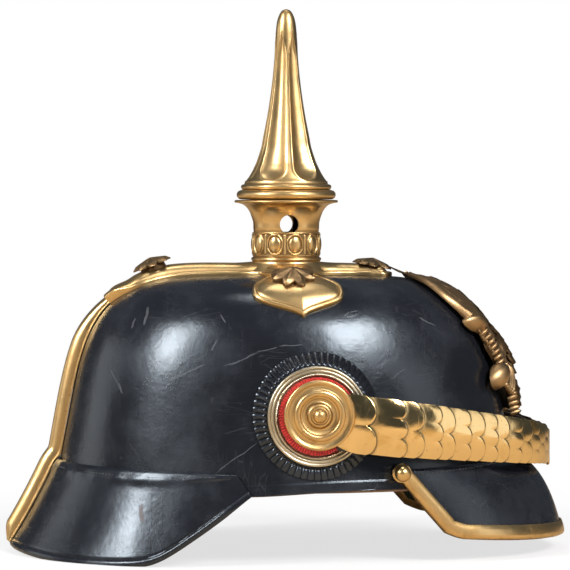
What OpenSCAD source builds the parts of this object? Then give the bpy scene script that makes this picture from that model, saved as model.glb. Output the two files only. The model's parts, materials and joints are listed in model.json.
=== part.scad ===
// Officer's spiked leather helmet: a lacquered leather skull with a visor and a
// neck guard, brass fittings, a screw-on spike and scaled chin straps.
// The front is +X, the wearer's left is +Y, up is +Z. The spike's axis is the
// Z axis and the lowest edge of the neck guard lies at Z = 0. Millimetres.

/* [Skull] */
// Half length of the leather skull at its brim
skull_half_length = 117; // [113:0.5:120]
// Half width of the leather skull at its brim
skull_half_width = 87; // [84:0.5:90]
// Height of the brim above the ground
brim_z = 36; // [34:0.5:38]
// Height of the dome above the brim
dome_height = 103; // [100:0.5:106]
// How square the shoulder of the dome is
dome_power = 5.3; // [4.6:0.1:6]
// Share by which the walls lean in from brim to crown
wall_lean = 0.155; // [0.13:0.005:0.18]
// Thickness of the skull leather
skull_wall = 2.4; // [2:0.1:3]
// Radius of the air hole in the crown
crown_hole_r = 12; // [10:0.5:13]

/* [Visor] */
// Farthest reach of the visor from the spike axis
visor_reach = 139.5; // [136:0.5:142]
// Height of the visor's front edge
visor_tip_z = 7.5; // [6:0.5:10]
// Distance of the visor's corners in front of the spike axis
visor_corner_x = 74; // [70:0.5:78]
// Distance of the visor's corners from the middle plane
visor_corner_y = 74; // [72:0.5:78]
// Height of the visor's corners
visor_corner_z = 12.5; // [11:0.5:14]
// Height of the seam between visor and skull
visor_seam_z = 45.5; // [44:0.5:47]
// Half of the angle that the seam takes round the skull
visor_seam_half = 66; // [63:1:69]
// Thickness of the visor leather
visor_wall = 2.4; // [2:0.1:3]
// Width of the brass trim on the visor's edge
trim_width = 6; // [5:0.1:7]
// Thickness of the brass trim
trim_wall = 0.8; // [0.6:0.1:1]
// Radius of the ball heads that end the trim
trim_screw_head_r = 4.3; // [4:0.1:4.6]

/* [Neck guard] */
// Farthest reach of the neck guard behind the spike axis
guard_reach = 138.5; // [136:0.5:141]
// Half width that the neck guard flares to
guard_half_width = 97; // [94:0.5:100]
// Height of the seam between neck guard and skull
guard_seam_z = 46; // [44:0.5:47]
// Half of the angle that the seam takes round the skull
guard_seam_half = 74; // [71:1:76]
// Thickness of the neck guard leather
guard_wall = 2.4; // [2:0.1:3]
// Thickness of the coloured leather under the visor and the neck guard
lining_wall = 0.8; // [0.6:0.1:1.2]
// Width of the brass strip down the back
spine_width = 10; // [9:0.5:12]
// Radius of the half round bead on that strip
spine_bead_r = 3.4; // [2.8:0.1:3.8]
// Height of the straight foot under that bead
spine_stilt = 2.5; // [1.5:0.1:3]

/* [Spike] */
// Height of the spike above its seat
spike_height = 95.6; // [85:0.5:105]
// Radius of the spike's foot
spike_foot_r = 25; // [24:0.25:26]
// Radius of the spike where the flutes begin
spike_cone_r = 18.6; // [17.5:0.1:19.5]
// Radius of the rounded tip
spike_tip_r = 2.6; // [2.2:0.1:3]
// Number of flutes round the spike
flute_count = 6; // [5:1:8]
// Radius of the threaded collar under the spike
thread_r = 12; // [11:0.25:13]
// Length of the threaded collar
thread_length = 13.5; // [9:0.5:14]
// Pitch of the thread
thread_pitch = 1.5; // [1.2:0.1:1.8]
// Thickness of the leather washer under the spike
washer_wall = 0.8; // [0.6:0.1:1.2]
// Radius of the vent holes in the neck
vent_r = 4.8; // [4:0.1:5]
// Number of oval beads in the band round the neck
jewel_count = 10; // [8:1:10]

/* [Cross base] */
// Reach of the rear arm behind the spike axis
rear_arm_reach = 90; // [86:0.5:92]
// Reach of the front arm in front of the spike axis
front_arm_reach = 52; // [49:0.5:54]
// Distance of the rear star from the spike axis
rear_star_x = 68.5; // [65:0.5:72]
// Distance of the front star from the spike axis
front_star_x = 44; // [42:0.5:46]
// Distance of the side stars from the spike axis
side_star_y = 49; // [47:0.5:51]
// Tilt of the side stars
side_star_tilt = 38; // [30:1:45]
// Tilt of the rear star
rear_star_tilt = 18; // [10:1:24]
// Height of the arms' line over the crown, where they leave the foot
arm_rise = 6.3; // [5.5:0.1:7]
// Half width of the spade end of the side arms
spade_half_width = 22.5; // [21:0.5:24]
// Depth of the side ends' tips below the crown
spade_drop = 18.5; // [17:0.5:20]
// Half width of a star
star_r = 10; // [9:0.25:10.5]
// Radius of the screws that hold the stars
star_screw_r = 1.5; // [1.3:0.1:1.8]

/* [Side fittings] */
// Distance of the chin scale pivot in front of the spike axis
pivot_x = 6.8; // [4:0.2:8]
// Height of the chin scale pivot
pivot_z = 72.8; // [71:0.2:74]
// Distance of the cockade's back from the middle plane
fitting_y = 86.5; // [86:0.1:87]
// Outer radius of the pleated leather ring
pleat_r = 31; // [29:0.5:32]
// Number of pleats in the leather ring
pleat_count = 56; // [48:2:60]
// Outer radius of the cockade
cockade_r = 24.5; // [23.5:0.25:25]
// Inner radius of the cockade's metal ring
cockade_inner_r = 19.5; // [18.5:0.25:20]
// Radius of the brass rosette
rosette_r = 17.2; // [16:0.2:18]
// Radius of the screw that the rosette and the strap turn on
pivot_screw_r = 3; // [2.5:0.1:3.5]

/* [Chin scales] */
// Thickness of the strap leather
strap_wall = 1.8; // [1.5:0.1:2]
// Width of the strap at its pivot
strap_width = 29; // [27:0.5:30]
// Width of the strap in front
strap_front_width = 19; // [17:0.5:20]
// Reach of the strap in front of the spike axis
strap_reach = 131.5; // [130:0.5:132.5]
// Height of the strap's middle line in front
strap_front_z = 53.5; // [52.5:0.5:55]
// Radius of the strap's bend beside the skull
strap_bend_r = 60; // [50:1:70]
// Angle of the strap's bend beside the skull
strap_bend = 35; // [30:1:40]
// Thickness of a brass scale
scale_wall = 0.6; // [0.5:0.05:0.8]

/* [Front plate] */
// Distance of the plate's wings from the skull
plate_gap = 2.6; // [2.2:0.1:3]
// Thickness of the plate
plate_wall = 1.4; // [1.2:0.1:1.8]
// Distance of the plate's screws from the middle plane
plate_screw_y = 17; // [15:0.5:19]
// Height of the plate's screws
plate_screw_z = 96; // [94:0.5:98]

/* [Hidden] */
$fn = 64;

// Gap between pieces that lie against each other on the shell
seat_gap = 0.1;
// Gap between thin pieces that follow a curved skin
skin_gap = 0.3;
// Gap between pieces that move past each other
run_gap = 0.3;
// Radial gap of a screw in its hole
screw_gap = 0.05;
// How far a cut reaches past the piece that it cuts
past = 1;
// Points round the skull and steps up its wall
dome_sides = 48;
dome_steps = 12;
width_share = skull_half_width / skull_half_length;
crown_z = brim_z + dome_height;
arm_top_z = crown_z + arm_rise;
spade_tip_z = crown_z - spade_drop;

brass = [0.78, 0.6, 0.3];
bronze = [0.55, 0.38, 0.2];
leather = [0.09, 0.09, 0.1];
brown_leather = [0.4, 0.24, 0.14];

// Meshes from rows of points. closed joins each row's last point to its first,
// and looped joins the last row to the first.
function row_faces(rows, cols, closed, looped) = [
    for (i = [0 : rows - (looped ? 1 : 2)], j = [0 : cols - (closed ? 1 : 2)], k = [0, 1])
        let (a = i * cols + j, b = i * cols + (j + 1) % cols,
            c = ((i + 1) % rows) * cols + (j + 1) % cols, d = ((i + 1) % rows) * cols + j)
        k == 0 ? [a, b, c] : [a, c, d]];
function flat_rows(rows) = [for (row = rows) for (p = row) p];
function unit(v) = v / norm(v);
function mix(a, b, t) = a * (1 - t) + b * t;
function smooth(t) = let (s = min(max(t, 0), 1)) s * s * (3 - 2 * s);
function steps(from, to, count) = [for (i = [0 : count]) from + (to - from) * i / count];

// A ring-shaped solid whose rings follow one another round and meet
module ring_loop(rings) {
    polyhedron(flat_rows(rings), row_faces(len(rings), len(rings[0]), true, true), convexity = 6);
}
function backwards(list) = [for (i = [len(list) - 1 : -1 : 0]) list[i]];

// A plate between an inner and an outer sheet of points with the same rows
module plate_between(inner, outer) {
    rings = [for (i = [0 : len(inner) - 1])
        concat(inner[i], backwards(outer[i]))];
    cols = len(rings[0]);
    rows = len(rings);
    half = cols / 2;
    function cap(i, flip) = [for (j = [0 : half - 2], k = [0, 1])
        let (a = i * cols + j, b = a + 1, c = i * cols + cols - 2 - j, d = c + 1,
            f = k == 0 ? [a, b, c] : [a, c, d])
        flip ? [f[2], f[1], f[0]] : f];
    polyhedron(flat_rows(rings),
        concat(row_faces(rows, cols, true, false), cap(0, true), cap(rows - 1, false)), convexity = 6);
}

// Skull outline: share of the height and share of the half length for one step
function dome_rise(t) = pow(sin(t), 2 / dome_power);
function dome_spread(t) = pow(cos(t), 2 / dome_power) * (1 - wall_lean * dome_rise(t));
function dome_reach(z, grow) = let (s = min(max((z - brim_z) / (dome_height + grow), 0), 1))
    (skull_half_length + grow) * (1 - wall_lean * s) * pow(1 - pow(s, dome_power), 1 / dome_power);
function dome_side(z, grow) = dome_reach(z, grow) * (skull_half_width + grow) / (skull_half_length + grow);
function dome_ring(reach, side, z) = [for (j = [0 : dome_sides - 1])
    [reach * cos(360 * j / dome_sides), side * sin(360 * j / dome_sides), z]];
function dome_wall(grow, first, last) = [for (i = [first : last])
    let (t = 90 * pow(i / dome_steps, 1.7), reach = (skull_half_length + grow) * dome_spread(t))
    dome_ring(reach, reach * (skull_half_width + grow) / (skull_half_length + grow),
        brim_z + (dome_height + grow) * dome_rise(t))];
// Height of the dome over a point of the plan
function dome_top(x, y, grow, low = brim_z, high = crown_z + 20, n = 26) =
    n == 0 ? (low + high) / 2 :
    let (z = (low + high) / 2, reach = dome_reach(z, grow), side = dome_side(z, grow),
        inside = z < brim_z + dome_height + grow && pow(x / max(reach, 0.01), 2) + pow(y / max(side, 0.01), 2) < 1)
    inside ? dome_top(x, y, grow, z, high, n - 1) : dome_top(x, y, grow, low, z, n - 1);

module both_sides() {
    children();
    mirror([0, 1, 0]) children();
}

// Seats of the stars: place, height over the ground, tilts about X and Y
arm_fall = 2;
star_seats = [
    [front_star_x, 0, arm_top_z - front_star_x * tan(arm_fall), 0, 5],
    [-rear_star_x, 0, arm_top_z - rear_star_x * tan(arm_fall), 0, -rear_star_tilt],
    [0, -side_star_y, dome_top(0, side_star_y, 0) + 4.4, side_star_tilt, 0],
    [0, side_star_y, dome_top(0, side_star_y, 0) + 4.4, -side_star_tilt, 0]];
module star_seat(s) {
    translate([s[0], s[1], s[2]]) rotate([s[3], s[4], 0]) children();
}

// Leather skull with the crown's air hole and the holes for screws
module skull_shell() {
    outer = concat([dome_ring(skull_half_length, skull_half_width, brim_z)],
        dome_wall(0, 1, dome_steps - 1), [dome_ring(crown_hole_r, crown_hole_r, crown_z)]);
    inner = concat(
        [dome_ring(skull_half_length - skull_wall, skull_half_width - skull_wall, brim_z)],
        dome_wall(-skull_wall, 1, dome_steps - 1),
        [dome_ring(crown_hole_r, crown_hole_r, crown_z - skull_wall)]);
    color(leather) difference() {
        ring_loop(concat(inner, backwards(outer)));
        for (s = star_seats)
            star_seat(s) translate([0, 0, -20]) cylinder(r = star_screw_r + screw_gap, h = 30);
        both_sides() translate([pivot_x, -skull_half_width - past, pivot_z])
            rotate([-90, 0, 0]) cylinder(r = pivot_screw_r + screw_gap, h = 20);
        both_sides() plate_screw_hole();
        both_sides() trim_screw_place() cylinder(r = trim_screw_r + screw_gap, h = 20, center = true);
        spine_rivet_places() cylinder(r = spine_rivet_r + screw_gap, h = 12, center = true);
    }
}

// Visor: u runs across it from -1 to 1, v from its seam to its rim
visor_steps = 20;
visor_rows = 7;
visor_curve_x = 45;
visor_rim_half = acos((visor_corner_x - visor_curve_x) / (visor_reach - visor_curve_x));
function visor_seam(u) = let (a = u * visor_seam_half)
    [dome_reach(visor_seam_z, seat_gap) * cos(a), dome_side(visor_seam_z, seat_gap) * sin(a), visor_seam_z];
function visor_rim(u) = let (a = u * visor_rim_half)
    [visor_curve_x + (visor_reach - visor_curve_x) * cos(a),
        visor_corner_y * sin(a) / sin(visor_rim_half),
        visor_tip_z + (visor_corner_z - visor_tip_z) * u * u];
function visor_shoulder(u) = let (s = visor_seam(u), r = visor_rim(u), w = 1 - u * u,
    m = mix(s, r, 0.5 + 0.27 * w))
    [m[0], m[1], mix((s[2] + r[2]) / 2, s[2] + 0.5, w)];
function bend(a, m, b, t) = a * pow(1 - t, 2) + m * 2 * t * (1 - t) + b * t * t;
function visor_point(u, v) = bend(visor_seam(u), visor_shoulder(u), visor_rim(u), v);
function visor_normal(u, v) = unit(cross(
    visor_point(u, v + 0.01) - visor_point(u, v - 0.01), visor_point(u + 0.01, v) - visor_point(u - 0.01, v)));
function visor_sheet(u, v, t) = visor_point(u, v) + visor_normal(u, v) * t;

module front_visor() {
    us = steps(-1, 1, visor_steps);
    vs = steps(0, 1, visor_rows);
    color(leather) difference() {
        plate_between([for (u = us) [for (v = vs) visor_sheet(u, v, 0)]],
            [for (u = us) [for (v = vs) visor_sheet(u, v, visor_wall)]]);
        both_sides() trim_screw_place() cylinder(r = trim_screw_r + screw_gap, h = 20, center = true);
    }
}

// Thin coloured leather glued under the visor
module visor_lining() {
    us = steps(-0.99, 0.99, visor_steps);
    function from(u) = mix(0.36, 0.12, 1 - u * u);
    color([0.2, 0.3, 0.2]) plate_between(
        [for (u = us) [for (v = steps(from(u), 0.99, visor_rows))
            visor_sheet(u, v, -skin_gap - lining_wall)]],
        [for (u = us) [for (v = steps(from(u), 0.99, visor_rows)) visor_sheet(u, v, -skin_gap)]]);
}

// Frames along an edge path: each has a place, the way into the sheet and the sheet's normal
function edge_frames(path, normals) = [for (i = [0 : len(path) - 1])
    let (before = unit(path[max(i, 1)] - path[max(i - 1, 0)]),
        after = unit(path[min(i + 1, len(path) - 1)] - path[min(i, len(path) - 2)]),
        along = unit(before + after))
    [path[i], unit(cross(normals[i], along)) / (along * after), normals[i]]];
function placed(frame, a, b) = frame[0] + frame[1] * a + frame[2] * b;

trim_screw_r = 1.4;
trim_screw_u = 0.975;
trim_screw_v = 0.035;
trim_seat = visor_wall + skin_gap + trim_wall;
module trim_screw_place() {
    p = visor_point(-trim_screw_u, trim_screw_v);
    translate(p) rotate([90, 0, 0]) children();
}

// Brass channel round the visor's edge, with a lug under each ball head. Beside the skull
// the channel has no lower leg: lip is its width and low its depth at each frame.
module visor_trim() {
    sides = [for (i = [1 : visor_rows - 1]) i / visor_rows];
    path_uv = concat([for (v = sides) [-1, v]], [for (u = steps(-1, 1, visor_steps)) [u, 1]],
        [for (v = backwards(sides)) [1, v]]);
    normals = [for (p = path_uv) visor_normal(p[0], p[1])];
    path = [for (p = path_uv) visor_point(p[0], p[1])];
    frames = edge_frames(path, normals);
    top = visor_wall + skin_gap;
    function low(i) = path_uv[i][1] < 0.35 ? trim_wall + seat_gap : -2 * skin_gap - lining_wall;
    function lip(i) = path_uv[i][1] < 0.5 ? -skin_gap - 0.05 : trim_width / 2;
    color(brass) difference() {
        union() {
            plate_between(
                [for (i = [0 : len(frames) - 1]) let (f = frames[i]) [placed(f, trim_width, top),
                    placed(f, -skin_gap, top), placed(f, -skin_gap, low(i)), placed(f, lip(i), low(i))]],
                [for (i = [0 : len(frames) - 1]) let (f = frames[i]) [placed(f, trim_width, top + trim_wall),
                    placed(f, -skin_gap - trim_wall, top + trim_wall),
                    placed(f, -skin_gap - trim_wall, low(i) - trim_wall),
                    placed(f, lip(i), low(i) - trim_wall)]]);
            both_sides() trim_screw_place() translate([0, 0, visor_wall + skin_gap])
                cylinder(r = trim_screw_head_r + 0.3, h = trim_wall);
        }
        both_sides() trim_screw_place() cylinder(r = trim_screw_r + screw_gap, h = 20, center = true);
    }
}

module trim_screws() {
    color(brass) both_sides() trim_screw_place() {
        translate([0, 0, -skull_wall / 2]) cylinder(r = trim_screw_r, h = skull_wall / 2 + trim_seat + 1);
        intersection() {
            translate([0, 0, trim_seat + trim_screw_head_r * 0.6]) sphere(r = trim_screw_head_r);
            translate([0, 0, trim_seat + trim_wall]) cylinder(r = 2 * trim_screw_head_r, h = 20);
        }
    }
}

// Neck guard: u runs round the back from -1 to 1, v from its seam to its rim
guard_steps = 26;
guard_rows = 6;
guard_rim_half = 79.5;
guard_slope = 0.743;
guard_turn_x = -72;
// How much of the rim the two rest flats take off
rest_flat_depth = 0.8;
function guard_seam(u) = let (a = u * guard_seam_half, z = guard_seam_z - 2 * u * u)
    [-dome_reach(z, seat_gap) * cos(a), dome_side(z, seat_gap) * sin(a), z];
function guard_rim(u) = let (a = u * guard_rim_half, x = -guard_reach * cos(a),
    rise = guard_slope * (x - guard_turn_x))
    [x, (guard_half_width - 8.5 * smooth((abs(a) - 50) / 29.5)) * sin(a),
        (rise + sqrt(rise * rise + 16)) / 2 + 4 * (1 - smooth(abs(a) / 45)) - 0.2 - rest_flat_depth];
function guard_waist(u) = let (s = guard_seam(u), r = guard_rim(u), m = mix(s, r, 0.42))
    [m[0], m[1], (s[2] + r[2]) / 2];
function guard_point(u, v) = bend(guard_seam(u), guard_waist(u), guard_rim(u), v);
function guard_normal(u, v) = unit(cross(
    guard_point(u + 0.01, v) - guard_point(u - 0.01, v), guard_point(u, v + 0.01) - guard_point(u, v - 0.01)));
function guard_sheet(u, v, t) = guard_point(u, v) + guard_normal(u, v) * t;

module neck_guard() {
    us = steps(-1, 1, guard_steps);
    vs = steps(0, 1, guard_rows);
    color(leather) difference() {
        plate_between([for (u = us) [for (i = [guard_rows : -1 : 0]) guard_sheet(u, vs[i], 0)]],
            [for (u = us) [for (i = [guard_rows : -1 : 0]) guard_sheet(u, vs[i], guard_wall)]]);
        translate([-2 * guard_reach, -guard_reach, -20]) cube([2 * guard_reach, 2 * guard_reach, 20]);
        spine_rivet_places() cylinder(r = spine_rivet_r + screw_gap, h = 12, center = true);
    }
}

// Thin coloured leather glued under the neck guard
module guard_lining() {
    us = steps(-0.8, 0.8, guard_steps - 4);
    vs = steps(0.93, 0.3, 5);
    color([0.45, 0.1, 0.08]) difference() {
        plate_between([for (u = us) [for (v = vs) guard_sheet(u, v, -skin_gap - lining_wall)]],
            [for (u = us) [for (v = vs) guard_sheet(u, v, -skin_gap)]]);
        spine_rivet_places() cylinder(r = spine_rivet_r + screw_gap, h = 12, center = true);
    }
}

// Path of the rear strip in the middle plane, from the cross base down to the guard's rim.
// The bead sinks at the last two marks, so that the strip ends low on the rim.
guard_marks = [0.02, 0.25, 0.5, 0.72, 0.88, 1];
function bead_share(i, count) = i == count - 1 ? 0.25 : i == count - 2 ? 0.92 : 1;
spine_top_z = dome_top(-rear_arm_reach, 0, 0) - 1;
spine_join_z = guard_seam_z + 12;
function spine_path() = concat(
    [for (z = steps(spine_top_z, spine_join_z, 9)) [-dome_reach(z, 0) - skin_gap, 0, z]],
    [for (v = guard_marks) guard_sheet(0, v, guard_wall + skin_gap)]);
function spine_frames() = let (path = spine_path())
    [for (i = [0 : len(path) - 1])
        let (along = unit(path[min(i + 1, len(path) - 1)] - path[max(i - 1, 0)]))
        [path[i], [0, 1, 0], [along[2], 0, -along[0]]]];

module rear_spine() {
    frames = spine_frames();
    half = spine_width / 2;
    arc = steps(180, 0, 8);
    inside = concat([-half], [for (a = arc) spine_bead_r * cos(a)], [half]);
    flange = 0.8;
    color(brass) difference() {
        plate_between([for (f = frames) [for (y = inside) placed(f, y, 0)]],
            [for (i = [0 : len(frames) - 1]) let (f = frames[i], share = bead_share(i, len(frames)))
                concat([placed(f, -half, flange)],
                    [for (a = arc) placed(f, spine_bead_r * cos(a),
                        flange + share * (spine_stilt * min(1, 3 * sin(a)) + spine_bead_r * sin(a)))],
                    [placed(f, half, flange)])]);
        spine_rivet_places() cylinder(r = spine_rivet_r + screw_gap, h = 30, center = true);
    }
}

spine_rivet_r = 0.9;
module spine_rivet_places() {
    frames = spine_frames();
    for (i = [5, 12]) {
        f = frames[i];
        translate(f[0]) rotate([0, i == 5 ? -75 : -60, 0]) children();
    }
}
module spine_rivets() {
    color(brass) spine_rivet_places() translate([0, 0, -guard_wall - 1])
        cylinder(r = spine_rivet_r, h = guard_wall + spine_bead_r + spine_stilt + 1.2);
}

// Cross-shaped base under the neck: a flared foot, two long arms and two spades
foot_rise = 6.6;
foot_top_z = crown_z + foot_rise;
foot_ring = 3;
neck_foot_z = foot_top_z + foot_ring;
foot_r = 18;
neck_bore_r = 13;
// Spade ends: step up the dome and share of the half width, from the lower tip to the arm
// and height of the rounded back
spade_rows = [[0, 0.1, 2.2], [0.05, 0.24, 2.6], [0.1, 0.4, 3.2], [0.17, 0.63, 3.8], [0.25, 0.84, 4.2],
    [0.32, 0.96, 4.2], [0.39, 1, 4.2], [0.47, 0.98, 4.2], [0.55, 0.9, 4.3], [0.63, 0.78, 4.6],
    [0.72, 0.62, 5.4], [0.8, 0.5, 6.2], [0.88, 0.44, 6.5], [1, 0.44, 6.4]];
base_columns = [-1, -0.93, -0.86, -0.78, -0.55, -0.3, 0, 0.3, 0.55, 0.78, 0.86, 0.93, 1];
spade_top_t = 88.6;
spade_tip_t = asin(pow((spade_tip_z - brim_z) / dome_height, dome_power / 2));
// Cross section of an arm: a beaded edge, a quirk and a rounded back of a given height
function back_rise(c, high) = abs(c) > 0.9 ? 2 : abs(c) > 0.8 ? 2.5 :
    abs(c) > 0.7 ? 1.6 : 1.6 + (high - 1.6) * sqrt(1 - pow(c / 0.85, 2));
function spade_point(row, c, grow) = let (t = mix(spade_tip_t, spade_top_t, row[0]),
    z = brim_z + (dome_height + grow) * dome_rise(t), x = c * row[1] * spade_half_width,
    reach = (skull_half_length + grow) * dome_spread(t), side = (skull_half_width + grow) * dome_spread(t))
    [x, -side * sqrt(max(1 - pow(x / reach, 2), 0)), z];
module spade() {
    plate_between(
        [for (r = spade_rows) [for (c = base_columns) spade_point(r, c, seat_gap)]],
        [for (r = spade_rows) [for (c = base_columns) spade_point(r, c, back_rise(c, r[2]))]]);
}
// Long arms: share of the reach, half width and height of the rounded back
arm_start = 14.5;
front_rows = [[0, 10, 6.3], [0.3, 9.7, 6.3], [0.6, 9.6, 6], [0.8, 9.8, 5.4], [0.92, 9, 4.8], [1, 6.5, 3.6]];
rear_rows = [[0, 10, 6.3], [0.2, 9.6, 6.5], [0.45, 9.5, 6.9], [0.6, 10, 7], [0.72, 12, 6.8], [0.8, 13, 6],
    [0.87, 12, 5], [0.93, 9, 4], [1, 5.5, 3.4]];
module long_arm(rows, reach, way) {
    function at(r, c, h) = let (x = mix(arm_start, reach, r[0]), y = c * r[1])
        [way * x, way * y, dome_top(x, y, 0) + h];
    inwards = backwards(rows);
    plate_between([for (r = inwards) [for (c = base_columns) at(r, c, seat_gap)]],
        [for (r = inwards) [for (c = base_columns) at(r, c, back_rise(c, r[2]))]]);
}
module cross_base() {
    color(brass) difference() {
        union() {
            long_arm(front_rows, front_arm_reach, 1);
            long_arm(rear_rows, rear_arm_reach, -1);
            both_sides() spade();
            rotate_extrude() polygon([[0, crown_z + 0.7], [foot_r + 7.3, crown_z + 0.7],
                [foot_r + 5, crown_z + 2.3], [foot_r + 2.2, crown_z + 4.5], [foot_r + 0.6, foot_top_z],
                [foot_r, foot_top_z + foot_ring / 2],
                [foot_r, neck_foot_z], [0, neck_foot_z]]);
        }
        translate([0, 0, crown_z - 10]) cylinder(r = neck_bore_r, h = 30);
        for (s = star_seats)
            star_seat(s) {
                cylinder(r = star_r + 0.7, h = 8);
                translate([0, 0, -20]) cylinder(r = star_screw_r + screw_gap, h = 30);
            }
    }
}

// Stars with eight ridged petals, each on its screw through the arm and the skull
star_height = 4;
nut_wall = 2.2;
nut_r = 3.2;
star_depths = [for (s = star_seats) abs(s[3]) > 0 ? 9.4 : s[2] - dome_top(s[0], s[1], -skull_wall) + 1.2];
module star_screws() {
    color(bronze) for (i = [0 : 3])
        star_seat(star_seats[i]) {
            for (k = [0 : 3])
                rotate([0, 0, 45 * k]) intersection() {
                    rotate([45, 0, 0]) translate([-star_r, -2.1, -2.1]) cube([2 * star_r, 4.2, 4.2]);
                    translate([0, 0, 0.05]) cylinder(r1 = star_r + 2, r2 = 1.5, h = star_height);
                }
            translate([0, 0, -star_depths[i] - nut_wall - past])
                cylinder(r = star_screw_r, h = star_depths[i] + nut_wall + past + 0.5);
        }
}
module star_nuts() {
    color(brass) for (i = [0 : 3])
        star_seat(star_seats[i]) translate([0, 0, -star_depths[i] - nut_wall]) difference() {
            cylinder(r = nut_r, h = nut_wall, $fn = 6);
            translate([0, 0, -past]) cylinder(r = star_screw_r + screw_gap, h = nut_wall + 2 * past);
        }
}

// Hollow neck with its vent holes and the threaded collar that carries the spike
band_r = 16.7;
band_height = 12.4;
band_top_z = neck_foot_z + band_height;
lip_rise = 15;
lip_z = band_top_z + lip_rise;
lip_r = 26.4;
lip_wall = 1.6;
seat_z = lip_z + lip_wall;
module thread_profile(r, length, flip) {
    turns = floor(length / thread_pitch);
    depth = 0.4 * flip;
    polygon(concat([[0, 0], [r, 0]], [for (i = [0 : turns - 1]) for (p = [[r, 0.6], [r - depth, 0.9]])
        [p[0], p[1] + i * thread_pitch]], [[r, length], [0, length]]));
}
module spike_neck() {
    vent_z = band_top_z + 4;
    color(brass) difference() {
        union() {
            rotate_extrude() polygon([[0, neck_foot_z], [band_r - 0.1, neck_foot_z], [band_r - 0.1, band_top_z],
                [band_r + 0.3, band_top_z + 2], [band_r + 0.4, band_top_z + 5], [band_r + 1.5, band_top_z + 9.5],
                [band_r + 3.5, band_top_z + 13.5], [lip_r - 3, lip_z - 0.4], [lip_r, lip_z], [lip_r, seat_z - 0.6],
                [lip_r - 1, seat_z], [0, seat_z]]);
            translate([0, 0, seat_z]) rotate_extrude() thread_profile(thread_r, thread_length, 1);
        }
        translate([0, 0, neck_foot_z - past]) cylinder(r = neck_bore_r, h = lip_z - 3 - neck_foot_z);
        translate([0, 0, neck_foot_z]) cylinder(r = thread_r - 2.5, h = seat_z + thread_length + past - neck_foot_z);
        for (a = [0, 90]) rotate([90, 0, a]) translate([0, vent_z, -lip_r]) cylinder(r = vent_r, h = 2 * lip_r);
    }
}

// Band of framed oval beads round the neck
module jewel_band() {
    height = band_top_z - neck_foot_z;
    mid_z = neck_foot_z + height / 2;
    color(brass) difference() {
        union() {
            translate([0, 0, neck_foot_z + seat_gap]) cylinder(r = band_r + 0.6, h = height - 2 * seat_gap);
            for (z = [neck_foot_z + 1, band_top_z - 1])
                translate([0, 0, z]) rotate_extrude() translate([band_r + 0.5, 0]) circle(r = 0.9, $fn = 24);
            for (i = [0 : jewel_count - 1])
                rotate([0, 0, 360 * i / jewel_count]) {
                    translate([band_r - 1.6, 0, mid_z]) sphere(r = 3.9);
                    translate([band_r + 0.5, 0, mid_z]) rotate([0, 90, 0])
                        rotate_extrude() translate([4.6, 0]) circle(r = 0.6, $fn = 16);
                    rotate([0, 0, 180 / jewel_count]) translate([band_r + 0.5, 0, neck_foot_z + 1])
                        cylinder(r = 0.8, h = height - 2);
                }
        }
        translate([0, 0, neck_foot_z - past]) cylinder(r = band_r, h = height + 2 * past);
    }
}

// Leather washer between the neck and the spike
module spike_washer() {
    color(brown_leather) translate([0, 0, seat_z + run_gap / 2]) difference() {
        cylinder(r = spike_foot_r - 1.5, h = washer_wall);
        translate([0, 0, -past]) cylinder(r = thread_r + 0.5, h = washer_wall + 2 * past);
    }
}

// Fluted spike with the threaded socket in its foot
module spike() {
    foot_z = seat_z + washer_wall + run_gap;
    flute_z = foot_z + 14.5;
    flute_top_z = foot_z + 83;
    top = foot_z + spike_height;
    color(brass) difference() {
        rotate_extrude() polygon(concat(
            [[0, foot_z], [spike_foot_r - 1.4, foot_z]],
            [for (a = steps(-60, 90, 6)) [spike_foot_r - 2.2 + 2.2 * cos(a), foot_z + 2.3 + 2.2 * sin(a)]],
            [[spike_foot_r - 3.2, foot_z + 4.7]],
            [for (a = steps(-50, 90, 4)) [spike_foot_r - 3.2 + 1.1 * cos(a), foot_z + 5.8 + 1.1 * sin(a)]],
            [[spike_cone_r + 1.6, foot_z + 8.3], [spike_cone_r, foot_z + 11], [spike_cone_r - 1.6, foot_z + 15],
                [spike_cone_r * 0.79, foot_z + 20.5], [spike_cone_r * 0.65, foot_z + 30.5],
                [spike_cone_r * 0.54, foot_z + 40.5], [spike_cone_r * 0.45, foot_z + 50.5],
                [spike_cone_r * 0.335, foot_z + 71], [spike_cone_r * 0.27, foot_z + 85.5]],
            [for (a = steps(12, 90, 5)) [spike_tip_r * cos(a), top - spike_tip_r + spike_tip_r * sin(a)]]));
        translate([0, 0, foot_z - past]) rotate_extrude()
            thread_profile(thread_r + screw_gap, thread_length + past + run_gap, 0);
        for (i = [0 : flute_count - 1])
            rotate([0, 0, 360 * (i + 0.5) / flute_count - 90]) flute(flute_z, flute_top_z);
    }
}
module flute(low_z, high_z) {
    low_r = 9;
    high_r = 3.1;
    low_x = spike_cone_r * 0.9 + low_r - 2.2;
    high_x = spike_cone_r * 0.285 + high_r - 1;
    translate([low_x, 0, low_z]) {
        sphere(r = low_r);
        rotate([0, atan2(high_x - low_x, high_z - low_z), 0])
            cylinder(r1 = low_r, r2 = high_r, h = norm([high_x - low_x, high_z - low_z]));
    }
}

// Bird-shaped plate on the brow, a spread bird in low relief. Rows go up the dome from
// tail to wing tips: height on the dome's curve and half width of the outline there.
plate_low = 0.117;
plate_high = 0.898;
plate_rows = [[0, 8], [0.035, 17], [0.09, 13], [0.13, 12], [0.17, 19], [0.22, 25], [0.28, 31], [0.34, 33],
    [0.41, 31.5], [0.48, 33], [0.55, 37], [0.62, 36.5], [0.69, 36], [0.76, 34], [0.83, 31], [0.9, 26],
    [0.95, 19], [1, 9]];
plate_columns = 16;
function plate_t(share) = 90 * pow(mix(plate_low, plate_high, share), 1.7);
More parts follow.
